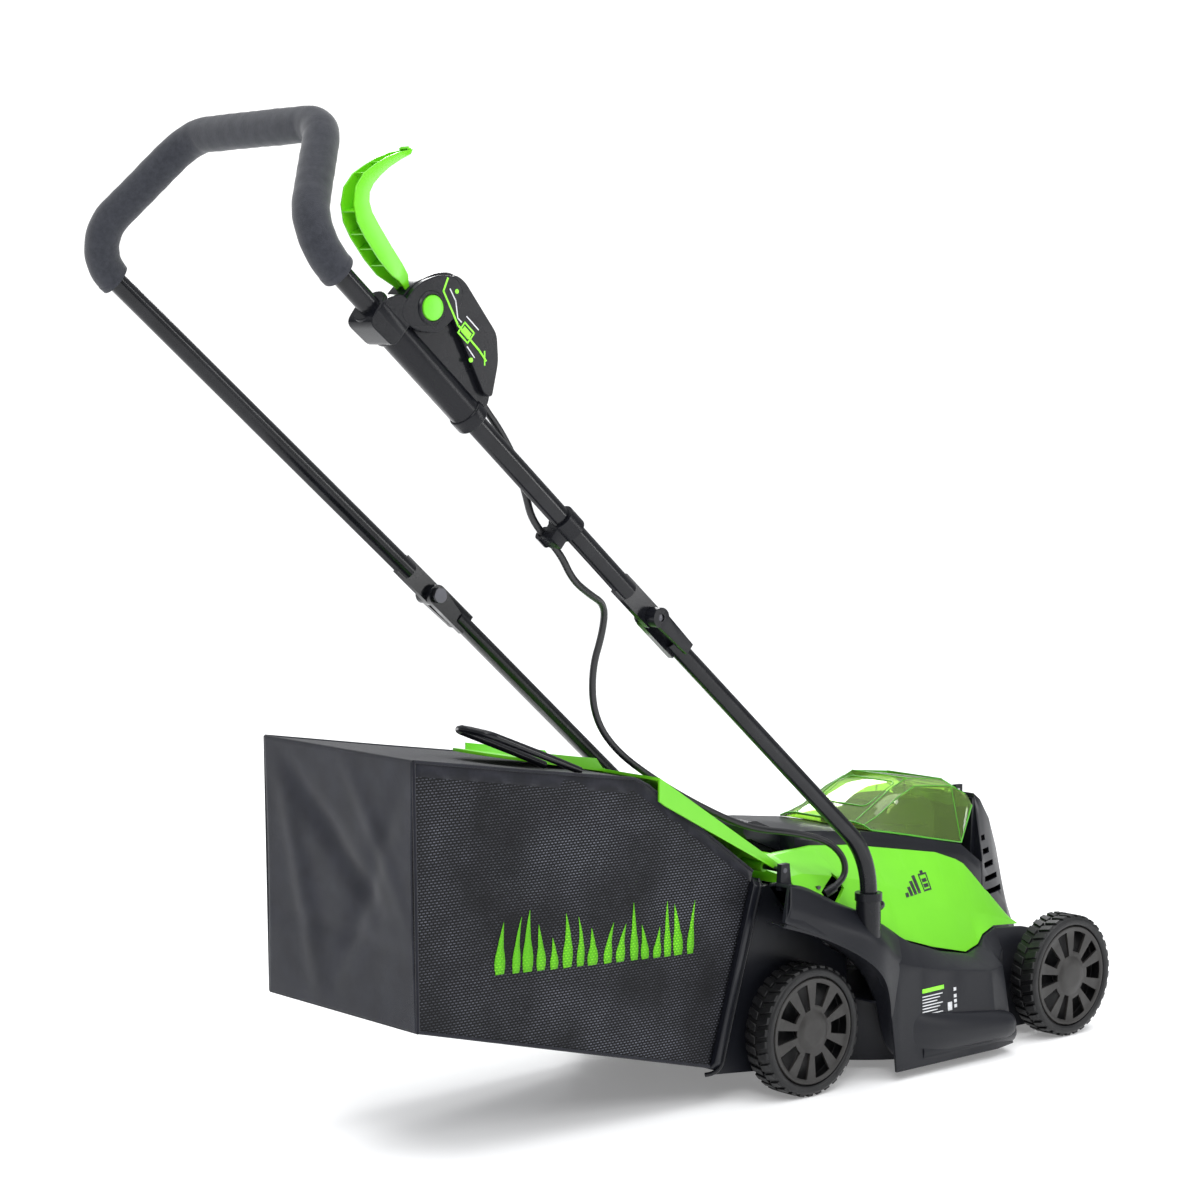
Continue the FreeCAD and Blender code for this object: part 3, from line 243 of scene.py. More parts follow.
def foam_paint():
    """Closed-cell foam: matte, finely pitted, slightly mottled."""
    paint = Paint("foam", (0.024, 0.026, 0.033), 0.88, specular=0.2)
    paint.shade(paint.noise(160, 5, 0.7), (0.038, 0.040, 0.050), 0.35, 0.7)
    cells = paint.node("ShaderNodeTexVoronoi", Scale=950)
    paint.link(paint.coordinates, cells.inputs["Vector"])
    paint.bump(cells.outputs["Distance"], 0.00022, 0.55)
    paint.bump(paint.noise(55, 3), 0.0007, 0.25)
    paint.shader.inputs["Sheen Weight"].default_value = 0.25
    paint.shader.inputs["Sheen Roughness"].default_value = 0.5
    return paint.material


def wheel_paint():
    """Dull moulded tread, with dusty lighter patches."""
    paint = Paint("wheel_black", (0.0052, 0.0053, 0.0062), 0.46, specular=0.36)
    paint.shade(paint.noise(60, 6, 0.7), (0.016, 0.0155, 0.0155), 0.45, 0.85)
    paint.gloss(paint.noise(25, 4), 0.10)
    paint.bump(paint.noise(1300, 2), 0.00006, 0.5)
    return paint.material


def hubcap_paint():
    """Warm dark grey cap with a satin grain."""
    paint = Paint("hubcap_grey", (0.0175, 0.0162, 0.0152), 0.44, specular=0.4)
    paint.shade(paint.noise(45, 5, 0.6), (0.031, 0.029, 0.0272), 0.4, 0.8)
    paint.gloss(paint.noise(30, 4), 0.08)
    paint.bump(paint.noise(1700, 2), 0.00005, 0.6)
    return paint.material


def lid_paint():
    """Clear green plastic, tinted and glossy, with faint moulding ripple."""
    paint = Paint("lid_green_clear", (0.60, 0.93, 0.22), 0.03, specular=0.45)
    paint.gloss(paint.noise(12, 3), 0.015)
    paint.bump(paint.noise(35, 2), 0.0003, 0.05)
    paint.shade(paint.noise(6, 2), (0.64, 0.94, 0.25), 0.3, 0.7)
    paint.shader.inputs["Transmission Weight"].default_value = 0.93
    return paint.material


def mesh_cloth_paint(name, color, dot):
    """Open net: rows of raised thread knots round dark holes, worn lighter in patches."""
    paint = Paint(name, color, 0.60, specular=0.22)
    rows = paint.node("ShaderNodeTexBrick", offset=0.5, Scale=1.0, Color1=(1, 1, 1, 1),
                      Color2=(0.72, 0.72, 0.72, 1), Mortar=(0, 0, 0, 1), Mortar_Size=0.27,
                      Mortar_Smooth=0.6, Brick_Width=1.0, Row_Height=0.62)
    turned = paint.place((205, 205, 205), (math.pi / 2, 0.10, 0))
    paint.link(turned, rows.inputs["Vector"])
    knots = rows.outputs["Color"]
    broad = paint.ramp(paint.noise(8, 3, 0.55), 0.34, 0.66, (0.22, 0.22, 0.22), (1, 1, 1))
    fine = paint.noise(420, 2, 0.6)
    amount = paint.math("MULTIPLY", paint.math("MULTIPLY", knots, broad), paint.math("ADD", fine, 0.55))
    paint.link(paint.ramp(amount, 0.12, 0.95, color, dot), paint.shader.inputs["Base Color"])
    paint.bump(knots, 0.0006, 0.7)
    return paint.material


def woven_paint(name, color, light):
    """Plain weave: two crossing sets of fine threads and soft fuzz."""
    paint = Paint(name, color, 0.76, specular=0.2)
    threads = []
    for direction in ("Y", "Z"):
        wave = paint.node("ShaderNodeTexWave", Scale=1.0, Distortion=0.4, Detail=1.0)
        wave.bands_direction = direction
        paint.link(paint.place((420, 420, 420)), wave.inputs["Vector"])
        threads.append(wave.outputs["Fac"])
    weave = paint.math("MULTIPLY", threads[0], threads[1])
    cloud = paint.noise(30, 5, 0.65)
    amount = paint.math("ADD", paint.math("MULTIPLY", weave, 0.55), paint.math("MULTIPLY", cloud, 0.6))
    paint.link(paint.ramp(amount, 0.25, 0.85, color, light), paint.shader.inputs["Base Color"])
    paint.bump(weave, 0.0003, 0.6)
    paint.shader.inputs["Sheen Weight"].default_value = 0.2
    paint.shader.inputs["Sheen Roughness"].default_value = 0.45
    return paint.material


def plain_paint(name, color, rough):
    """An even coat for prints, cable and small trims."""
    paint = Paint(name, color, rough)
    paint.gloss(paint.noise(40, 3), 0.05)
    paint.shade(paint.noise(70, 3), [channel * 1.2 for channel in color])
    paint.bump(paint.noise(800, 2), 0.00004, 0.5)
    return paint.material


tube_black = tube_paint()
foam = foam_paint()
wheel_black = wheel_paint()
hubcap_grey = hubcap_paint()
lid_paint()
bag_mesh = mesh_cloth_paint("bag_mesh", (0.0022, 0.0024, 0.0036), (0.135, 0.142, 0.172))
bag_mark = mesh_cloth_paint("bag_mark", (0.10, 0.42, 0.010), (0.34, 1.0, 0.04))
bag_woven = woven_paint("bag_woven", (0.0060, 0.0066, 0.0100), (0.034, 0.036, 0.050))
bag_solid = woven_paint("bag_solid", (0.0055, 0.0060, 0.0095), (0.020, 0.021, 0.031))
cable_black = plain_paint("cable_black", (0.0060, 0.0063, 0.0078), 0.40)
label_white = plain_paint("label_white", (0.62, 0.63, 0.65), 0.5)
label_dark = plain_paint("label_dark", (0.016, 0.018, 0.022), 0.4)
mark_green = plain_paint("mark_green", (0.25, 0.85, 0.03), 0.4)
lid_rim = plain_paint("lid_rim", (0.055, 0.30, 0.012), 0.2)

SLOT_OF = {part["node"]: part["material_slot"] for part in frame["record"]["subparts"]}


# ---- mesh helpers

def round_edges(piece, width, segments, angle):
    rounding = piece.modifiers.new("rounding", "BEVEL")
    rounding.width = width
    rounding.segments = segments
    rounding.limit_method = "ANGLE"
    rounding.angle_limit = math.radians(angle)


def put(name, bm, material, body, replaced=(), angle=32, bevel=0.0, segments=2):
    """Turn a bmesh into a smooth-shaded piece that rides on a body."""
    mesh = bpy.data.meshes.new(name)
    bmesh.ops.recalc_face_normals(bm, faces=bm.faces)
    bm.to_mesh(mesh)
    bm.free()
    mesh.materials.append(material)
    obj = bpy.data.objects.new(name, mesh)
    scene.collection.objects.link(obj)
    mesh.shade_smooth()
    if bevel:
        round_edges(obj, bevel, segments, angle)
    mesh.set_sharp_from_angle(angle=math.radians(60 if bevel else angle))
    if body:
        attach(obj, body)
    if replaced:
        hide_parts(*replaced)
    return obj


def refine(node, bevel, material=None):
    """The node's own shape with its edges rounded."""
    source = nodes[node]
    bm = bmesh.new()
    bm.from_mesh(source.data)
    bmesh.ops.remove_doubles(bm, verts=bm.verts, dist=2e-6)
    bmesh.ops.dissolve_limit(bm, angle_limit=math.radians(0.8), verts=bm.verts, edges=bm.edges)
    slot = SLOT_OF[node]
    return put(node + "_shape", bm, material or PAINTS[slot], source["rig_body"], [node], 30, bevel)


def thicken(piece, thickness, offset=-1.0):
    """Give a thin surface its wall."""
    wall = piece.modifiers.new("wall", "SOLIDIFY")
    wall.thickness = thickness
    wall.offset = offset


def soften(piece, levels):
    """Subdivide a piece into smooth curves."""
    smooth = piece.modifiers.new("smooth", "SUBSURF")
    smooth.levels = levels
    smooth.render_levels = levels


def bridge(bm, rings, around=True, caps=False):
    """Faces between neighbouring rows of points, and over both ends if asked."""
    count = len(rings[0])
    for first, second in zip(rings, rings[1:]):
        for k in range(count if around else count - 1):
            m = (k + 1) % count
            bm.faces.new((first[k], first[m], second[m], second[k]))
    if caps:
        bm.faces.new(rings[0][::-1])
        bm.faces.new(rings[-1])


def length_of(points):
    return sum((b - a).length for a, b in zip(points, points[1:]))


def rounded(points, radii, step=0.004):
    """Straight runs joined by arcs, as a list of close points."""
    spots = [Vector(point) for point in points]
    line = [spots[0]]
    for before, corner, after, radius in zip(spots, spots[1:], spots[2:], radii):
        back = (before - corner).normalized()
        ahead = (after - corner).normalized()
        half_turn = (math.pi - back.angle(ahead)) / 2
        reach = radius * math.tan(half_turn)
        centre = corner + (back + ahead).normalized() * (radius / math.cos(half_turn))
        enter = corner + back * reach - centre
        leave = corner + ahead * reach - centre
        count = max(3, int(2 * half_turn * radius / step))
        for n in range(count + 1):
            share = n / count
            angle = 2 * half_turn * share
            line.append(centre + (enter * math.sin(2 * half_turn - angle)
                                  + leave * math.sin(angle)) / math.sin(2 * half_turn))
    line.append(spots[-1])
    return line


def spaced(points, step):
    """The same line with points no further apart than a step."""
    line = [points[0]]
    for start, end in zip(points, points[1:]):
        count = max(1, int(math.ceil((end - start).length / step)))
        line += [start.lerp(end, n / count) for n in range(1, count + 1)]
    return line


def sweep(bm, line, radius, sides=20, caps=True):
    """A round bar along a line; radius may be a function of the share of the length."""
    whole = length_of(line)
    done = 0.0
    across = (line[1] - line[0]).normalized().orthogonal().normalized()
    rings = []
    for n, spot in enumerate(line):
        done += (spot - line[n - 1]).length if n else 0.0
        ahead = (line[min(n + 1, len(line) - 1)] - line[max(n - 1, 0)]).normalized()
        across = (across - ahead * across.dot(ahead)).normalized()
        other = ahead.cross(across)
        size = radius(done / whole) if callable(radius) else radius
        turns = [2 * math.pi * k / sides for k in range(sides)]
        ring = [spot + (across * math.cos(a) + other * math.sin(a)) * size for a in turns]
        rings.append([bm.verts.new(point) for point in ring])
    bridge(bm, rings, caps=caps)
    return rings


def polar(radius, turn, height):
    """A local point round Z, from millimetres."""
    return Vector((radius * math.cos(turn), radius * math.sin(turn), height)) * MM


def turned_rings(bm, profile, matrix, sides):
    """Rings of points round local Z for (radius, height) pairs."""
    return [[bm.verts.new(matrix @ polar(radius, 2 * math.pi * k / sides, height)) for k in range(sides)]
            for radius, height in profile]


def lathe(bm, profile, matrix, sides=64):
    """Turn a closed profile of (radius, height) points about local Z."""
    rings = turned_rings(bm, profile, matrix, sides)
    bridge(bm, rings + rings[:1])


def prism(bm, outline, low, high, matrix):
    """An outline in local X and Z (mm), extruded along Y."""
    rings = [[bm.verts.new(matrix @ (Vector((x, y, z)) * MM)) for x, z in outline] for y in (low, high)]
    bridge(bm, rings, caps=True)


def smooth_outline(points, radius, count=5):
    """A polygon with its corners rounded (2-D)."""
    made = []
    total = len(points)
    for n in range(total):
        before, corner, after = (Vector(points[n - 1]), Vector(points[n]), Vector(points[(n + 1) % total]))
        back = before - corner
        ahead = after - corner
        reach = min(radius, back.length * 0.45, ahead.length * 0.45)
        start = corner + back.normalized() * reach
        end = corner + ahead.normalized() * reach
        for k in range(count + 1):
            t = k / count
            made.append(tuple(start * (1 - t) ** 2 + corner * 2 * t * (1 - t) + end * t ** 2))
    return made


def arm_matrix(reach, side):
    """Local X up the arm, Y outboard to the right, Z square to the arm."""
    x = Vector((-math.cos(SLOPE), -SPREAD, math.sin(SLOPE))).normalized()
    z = Vector((math.sin(SLOPE), 0, math.cos(SLOPE)))
    matrix = Matrix.Identity(4)
    for n, axis in enumerate((x, z.cross(x), z)):
        matrix.col[n] = (*axis, 0)
    matrix.translation = arm(reach, side)
    return matrix


# ---- CAD shapes kept with rounded edges

ROUNDED_NODES = {
    "deck_shell": 0.0016, "motor_cover": 0.0016, "battery_housing": 0.0018, "battery_lid": 0.0012,
    "battery_pack": 0.002, "safety_key": 0.001, "rear_flap": 0.0005, "handle_sockets": 0.0007,
    "cable_clip": 0.001, "cam_lever_right": 0.0012, "cam_lever_left": 0.0012, "bag_frame": 0.0015,
    "height_lever": 0.0006, "height_knob": 0.0004, "axle_clamps": 0.0008, "blade": 0.0003,
    "blade_adapter": 0.0003, "blade_bolt": 0.0004, "blade_washer": 0.0003, "fold_pins": 0.0004,
    "link_rod": 0.0003, "body_screws": 0.0, "strain_relief": 0.0004,
    "lower_tube_left": 0.0, "lower_tube_right": 0.0, "upper_tube": 0.0, "bag_handle": 0.0,
    "front_axle_rod": 0.0, "rear_axle_rod": 0.0,
}
FINISH = {"fold_pins": dark_pin, "body_screws": dark_pin, "flap_rod": dark_pin}
shapes = {name: refine(name, width, material=FINISH.get(name)) for name, width in ROUNDED_NODES.items()}
SCREWS_IN_COVER, SCREW_DROP = 0.165, 0.009
for vertex in shapes["body_screws"].data.vertices:
    if abs(vertex.co.y) < SCREWS_IN_COVER:
        vertex.co.z -= SCREW_DROP


for name, item in nodes.items():
    if name not in ROUNDED_NODES:
        item.data.materials.clear()
        item.data.materials.append(FINISH.get(name, PAINTS[SLOT_OF[name]]))


def surface(piece):
    """A search tree over a piece as it shows."""
    return BVHTree.FromObject(piece, bpy.context.evaluated_depsgraph_get())


def decal(bm, tree, corners, side):
    """A print laid just over a side surface; corners are (station, height) in millimetres."""
    lift, cuts = 0.25, 5
    a, b, c, d = [Vector(corner) for corner in corners]
    grid = []
    for i in range(cuts + 1):
        row = []
        for j in range(cuts + 1):
            flat = a.lerp(b, i / cuts).lerp(d.lerp(c, i / cuts), j / cuts)
            origin = P(flat.x, side * 300, flat.y)
            hit = tree.ray_cast(origin, Vector((0, -side, 0)))[0]
            row.append(bm.verts.new(hit + Vector((0, side * lift * MM, 0))))
        grid.append(row)
    bridge(bm, grid, around=False)


def bars(tree, side, boxes):
    """Several rectangles (x0, x1, z0, z1) printed on one surface."""
    bm = bmesh.new()
    for x0, x1, z0, z1 in boxes:
        decal(bm, tree, [(x0, z0), (x1, z0), (x1, z1), (x0, z1)], side)
    return bm


def printed(name, bm, material, body):
    """A flat print with a hair of thickness."""
    thicken(put(name, bm, material, body, angle=80), 0.00025, 0)


def build_labels():
    """Generic rating label on the deck, plain marks on the motor cover."""
    deck_tree = surface(shapes["deck_shell"])
    cover_tree = surface(shapes["motor_cover"])
    rows = [(168, 205 - 5 * (n % 3), 92.5 - 3.6 * n, 93.8 - 3.6 * n) for n in range(7)]
    squares = [(226, 231, z, z + 4) for z in (84, 78, 72, 92)]
    lines = rows + [(178, 214, 62.5, 65.5), (214, 222, 70, 80)] + squares
    printed("deck_label_lines", bars(deck_tree, -1, lines), label_white, "chassis")
    printed("deck_label_bar", bars(deck_tree, -1, [(168, 208, 97.5, 102.5)]), mark_green, "chassis")
    steps = [(205 + 10 * n, 212 + 10 * n, 199, 204 + 5 * n) for n in range(4)]
    cell = [(250, 252, 199, 219), (266, 268, 199, 219), (252, 266, 217, 219), (252, 266, 199, 201),
            (256, 262, 219, 222), (254, 264, 203, 207), (254, 264, 209, 213)]
    for side, name in ((-1, "right"), (1, "left")):
        printed("cover_marks_" + name, bars(cover_tree, side, steps + cell), label_dark, "chassis")


# fender cross-sections from its rear to its foot, each from the inner edge over the crest and down
FENDER_ROWS = [
    ((-33, 168, 249.5), (-37, 176, 247), (-50, 189, 226), (-63, 191, 206), (-63, 152, 209)),
    ((-10, 168, 245), (-12, 176, 241), (-18, 190, 216), (-27, 192, 195), (-27, 152, 199)),
    ((14, 168, 234), (13, 176, 229), (10, 191, 205), (6, 193, 183), (6, 152, 187)),
    ((38, 168, 222), (38, 177, 218), (36, 195, 193), (33, 198, 170), (33, 154, 175)),
    ((60, 168, 213), (61, 179, 210), (62, 201, 184), (57, 204, 156), (57, 156, 162)),
    ((79, 168, 206), (80, 181, 203), (81, 205, 175), (77, 208, 140), (77, 158, 147)),
    ((98, 168, 197), (99, 180, 193), (100, 202, 164), (94, 204, 122), (94, 160, 130)),
    ((116, 168, 187), (117, 177, 183), (117, 196, 150), (107, 197.5, 98), (107, 164, 108)),
    ((134, 167, 177), (135, 174, 171), (136, 190.5, 138), (115, 191.5, 66), (115, 168, 80)),
    ((158, 164, 163), (158, 170, 157), (158, 188.4, 124), (122, 189.2, 30), (121, 172, 40)),
]
# how hard the lines along the fender are, by column
FENDER_CREASES = {1: 0.45, 2: 0.4, 3: 0.75}
# runner cross-sections: station, half width, half height, centre height
RUNNER_RINGS = [
    (132, 6.8, 34, 56), (150, 10, 31, 53), (175, 15, 28, 49), (210, 19, 25, 45.5), (255, 20.5, 22, 42),
    (300, 20.5, 19, 39), (320, 19.5, 17.5, 37.5), (330, 16, 14, 37), (335, 9, 8, 36.5), (336.5, 3, 3, 36.5),
]
RUNNER_LINE, RUNNER_SIDES = 182, 28


def build_fender():
    """The smooth fender skin round the right rear wheel, the side that shows."""
    bm = bmesh.new()
    grid = [[bm.verts.new(P(x, -y, z)) for x, y, z in row] for row in FENDER_ROWS]
    bridge(bm, grid, around=False)
    layer = bm.edges.layers.float.new("crease_edge")
    for column, weight in FENDER_CREASES.items():
        for first, second in zip(grid, grid[1:]):
            bm.edges.get((first[column], second[column]))[layer] = weight
    fender = put("deck_fender_right", bm, deck_black, "chassis", angle=80)
    soften(fender, 3)
    thicken(fender, 0.0016)


def build_runner(side, name):
    """The rounded runner along the foot of the deck."""
    bm = bmesh.new()
    rings = []
    for x, out, tall, level in RUNNER_RINGS:
        ring = []
        for k in range(RUNNER_SIDES):
            a = 2 * math.pi * k / RUNNER_SIDES
            squash = math.copysign(abs(math.cos(a)) ** 0.75, math.cos(a))
            ring.append(bm.verts.new(P(x, side * (RUNNER_LINE + out * squash), level + tall * math.sin(a))))
        rings.append(ring)
    bridge(bm, rings, caps=True)
    soften(put("deck_runner_" + name, bm, deck_black, "chassis", angle=80), 1)


build_fender()
build_runner(-1, "right")
build_runner(1, "left")
build_labels()


def build_lid_lines():
    """Moulded rims of the clear lid: its crest, its edges and the frame on its rear face."""
    upper = [(196, 50, 282), (222, 48, 294), (262, 46, 315), (292, 46, 326), (357, 46, 319), (384, 46, 305)]
    lower = [(197, 78, 275), (222, 80, 270.5), (262, 80, 262.5), (292, 80, 256), (357, 80, 243),
             (385, 72, 286)]
    middle = [(196, 66, 280), (222, 64, 288), (262, 62, 308), (292, 61, 318), (357, 62, 312), (384, 62, 299)]
    thin, thick, frame_size = 0.0006, 0.0011, 0.0008
    bm = bmesh.new()
    for side in (-1, 1):
        for rail, size in ((upper, thin), (lower, thick), (middle, thin)):
            sweep(bm, [P(x, side * y, z) for x, y, z in rail], size, 8)
        sweep(bm, [P(357, side * 80, 243), P(357, side * 62, 312), P(357, side * 46, 319)], thin, 8)
        sweep(bm, [P(197, side * 78, 275), P(196, side * 66, 280), P(196, side * 50, 282),
                   P(196, 0, 282)], thick, 8)
    for x, z in ((292, 326.4), (357, 319.4)):
        sweep(bm, [P(x, -46, z), P(x, 46, z)], thin, 8)
    half = rounded([P(226, 0, 296.6), P(226, -40, 296.6), P(280, -40, 321.8), P(280, 0, 321.8)],
                   [0.008, 0.008], 0.002)
    sweep(bm, half, frame_size, 8)
    sweep(bm, [Vector((p.x, -p.y, p.z)) for p in half], frame_size, 8)
    put("lid_rims", bm, lid_rim, "lid", angle=60)


build_lid_lines()


# ---- wheels

WHEELBASE = 456.5
WHEEL_FACE = 140.0
AXLE_HEIGHT = 76.0
TYRE_PROFILE = [
    (5.1, 1), (13, 1), (13, 12), (61, 12), (61, 4), (65, 0.6), (70, 0), (72.6, 1.6), (73.4, 4),
    (73.4, 34), (72.6, 36.4), (70, 38), (65.5, 38), (63.4, 36.6), (62.5, 33), (62.5, 17), (13, 17),
    (13, 22), (5.1, 22),
]
LUGS = 34
LUG_FOOT, LUG_TOP = 72.4, 76.0
# each row of tread blocks: base low and high, crown low and high, lean in degrees, shift in pitches
LUG_ROWS = ((2.2, 18.0, 3.0, 18.0, 3.4, 0.0), (20.0, 35.8, 20.0, 35.0, -3.4, 0.5))
CAP_PROFILE = [
    (2.5, 38.4), (13, 38.3), (20.5, 38.0), (22.5, 36.4), (25.5, 36.0), (30, 36.0), (36, 35.9),
    (42, 35.8), (48, 35.6), (55.5, 35.4), (57.5, 36.6), (60.8, 36.8), (62.2, 35.2), (62.3, 32.0),
]
CAP_STEPS, WINDOW_PITCH = 240, 24


def wheel_matrix(end, side):
    """Local Z outboard from the wheel's inner face."""
    sign = -1 if side == "right" else 1
    place = P(WHEELBASE if end == "front" else 0.0, sign * WHEEL_FACE, AXLE_HEIGHT)
    return Matrix.Translation(place) @ Matrix.Rotation(math.radians(-90 * sign), 4, "X")


def lug_ring(bm, matrix, radius, low, high, lean, turn):
    """The four corners of a tread block at one radius."""
    edge = 0.30 * 2 * math.pi / LUGS
    back, ahead = turn - math.radians(lean / 2), turn + math.radians(lean / 2)
    corners = ((back - edge, low), (back + edge, low), (ahead + edge, high), (ahead - edge, high))
    return [bm.verts.new(matrix @ polar(radius, angle, height)) for angle, height in corners]


def build_wheel(end, side):
    """A moulded wheel with two broken rows of slanting tread blocks."""
    name = "wheel_%s_%s" % (end, side)
    matrix = wheel_matrix(end, side)
    bm = bmesh.new()
    lathe(bm, TYRE_PROFILE, matrix, 96)
    for n in range(LUGS):
        for low, high, crown_low, crown_high, lean, shift in LUG_ROWS:
            turn = 2 * math.pi * (n + shift) / LUGS
            foot = lug_ring(bm, matrix, LUG_FOOT, low, high, lean, turn)
            crown = lug_ring(bm, matrix, LUG_TOP, crown_low, crown_high, lean, turn)
            bridge(bm, [foot, crown], caps=True)
    put(name + "_tread", bm, wheel_black, "%s_%s_wheel" % (end, side), [name], 30, 0.0005, 1)


def in_window(k, radius):
    """Whether a cap's face lies in one of its ten windows, narrow and wide in turn."""
    place = k + 0.5 + WINDOW_PITCH / 2
    offset = abs(place % WINDOW_PITCH - WINDOW_PITCH / 2)
    if int(place / WINDOW_PITCH) % 2:
        return offset < 5.6 and 25.5 < radius < 55.5
    return offset < 7.6 and 30 < radius < 55.5


def build_hubcap(end, side):
    """A dished cap with wedge windows."""
    name = "hubcap_%s_%s" % (end, side)
    bm = bmesh.new()
    rings = turned_rings(bm, CAP_PROFILE, wheel_matrix(end, side), CAP_STEPS)
    for n, (first, second) in enumerate(zip(rings, rings[1:])):
        radius = (CAP_PROFILE[n][0] + CAP_PROFILE[n + 1][0]) / 2
        for k in range(CAP_STEPS):
            if not in_window(k, radius):
                m = (k + 1) % CAP_STEPS
                bm.faces.new((first[k], first[m], second[m], second[k]))
    bm.faces.new(rings[0])
    cap = put(name + "_cap", bm, hubcap_grey, "%s_%s_wheel" % (end, side), [name], 40)
    thicken(cap, 0.0032)
    round_edges(cap, 0.0006, 2, 50)


for end in ("front", "rear"):
    for side in ("right", "left"):
        build_wheel(end, side)
        build_hubcap(end, side)


# ---- foam grip

GRIP_START = 1010
GRIP_TOP = (-634, -118.0, 1076)
GRIP_RADIUS, GRIP_BORE = 0.0184, 0.0113


def build_grip():
    """The foam sleeve round the handle's loop, slightly lumpy, with rounded lips at both ends."""
    start_side = FOOT_SIDE + (ELBOW_SIDE - FOOT_SIDE) * (GRIP_START - ARM_FOOT) / (ARM_ELBOW - ARM_FOOT)
    half = [arm(GRIP_START, -start_side), arm(ARM_ELBOW, -ELBOW_SIDE), P(*GRIP_TOP)]
    loop = half + [Vector((p.x, -p.y, p.z)) for p in half[::-1]]
    line = spaced(rounded(loop, [0.054, 0.052, 0.052, 0.054], 0.004), 0.004)
    length = length_of(line)

    def radius(share):
        edge = min(share, 1 - share) * length
        lip = 0.0019 * (min(1.0, edge / 0.003) ** 0.5 - 1)
        return GRIP_RADIUS + lip + 0.00012 * math.sin(share * 190)
    bm = bmesh.new()
    rings = sweep(bm, line, radius, 40, False)
    for centre, ring in zip(line, rings):
        for vertex in ring:
            lump = noise.noise(vertex.co * 28) * 0.00045 + noise.noise(vertex.co * 90) * 0.00015
            vertex.co += (vertex.co - centre).normalized() * lump
    for ring, centre in ((rings[0], line[0]), (rings[-1], line[-1])):
        bore = [bm.verts.new(centre + (v.co - centre).normalized() * GRIP_BORE) for v in ring]
        bridge(bm, [bore, ring])
    grip = put("grip_sleeve", bm, foam, "upper_handle", ["foam_grip"], 50)


build_grip()


# ---- switch box, button and bail

BOX = arm_matrix(1008, -201.55)
BUTTON_PLACE = Vector((-105, 0, 40)) * MM
BAIL_PIN = Vector((-86, 0, 45)) * MM
FACE_OUT = Matrix.Rotation(-math.pi / 2, 4, "X")
PANEL_LEVEL, DRUM_LEVEL = 18.2, 18.8


def build_switch_box():
    """The two halves of the box as one shape: tube clamp, collar block, pod, panel and button drum."""
    bm = bmesh.new()
    along_tube = BOX @ Matrix.Rotation(math.pi / 2, 4, "Y")
    for low, high, size in ((-226, -76, 16.6), (-96, -56, 19.4), (-230, -214, 18.2)):
        profile = [(size - 1.2, low), (size, low + 1.2), (size, high - 1.2), (size - 1.2, high)]
        bridge(bm, turned_rings(bm, profile, along_tube, 48), caps=True)
    collar = [(-57, -22), (-55, 6), (-68, 27), (-96, 26), (-96, -20)]
    pod = [(-74, 14), (-76, 46), (-90, 72), (-104, 86), (-120, 89), (-186, 77), (-206, 57), (-229, 15),
           (-214, 2), (-160, 6), (-90, 6)]
    panel = [(-108, 60), (-104, 84), (-119, 88), (-185, 76), (-205, 56), (-222, 24), (-212, 20), (-160, 40)]
    drum = [(-76, 18), (-77, 48), (-91, 71), (-108, 84), (-128, 78), (-134, 56), (-128, 26), (-104, 10),
            (-84, 8)]
    for outline, corner, inner, outer in ((collar, 9, -19.6, 18.6), (pod, 9, -13, 11.5),
                                          (panel, 7, -18, PANEL_LEVEL), (drum, 12, -19, DRUM_LEVEL)):
        prism(bm, smooth_outline(outline, corner), inner, outer, BOX)
    put("switch_pod", bm, switch_black, "upper_handle", ["switch_box_outer", "switch_box_inner"],
        28, 0.0024, 3)


def build_button():
    """The start button and the ring round it."""
    turned = BOX @ Matrix.Translation(BUTTON_PLACE) @ FACE_OUT
    bm = bmesh.new()
    lathe(bm, [(12.9, 18.0), (12.9, 19.8), (13.6, 20.6), (15.6, 20.6), (17.0, 19.4), (17.4, 18.0)], turned)
    put("button_ring", bm, switch_black, "upper_handle")
    bm = bmesh.new()
    profile = [(13.4, 15.0), (13.4, 16.7), (12.5, 16.7), (12.5, 21.2), (12.1, 21.9), (11.2, 22.2),
               (7.0, 22.5), (2.0, 22.6)]
    bridge(bm, turned_rings(bm, profile, turned, 64), caps=True)
    put("start_button_cap", bm, button_green, "button", ["start_button"])


def strip(bm, points, width, level):
    """A raised line on the box's outer face."""
    for start, end in zip(points, points[1:]):
        run = (Vector(end) - Vector(start)).normalized()
        side = Vector((-run.y, run.x)) * width / 2
        start, end = Vector(start) - run * width * 0.35, Vector(end) + run * width * 0.35
        prism(bm, [start + side, end + side, end - side, start - side], level - 0.2, level + 0.25, BOX)


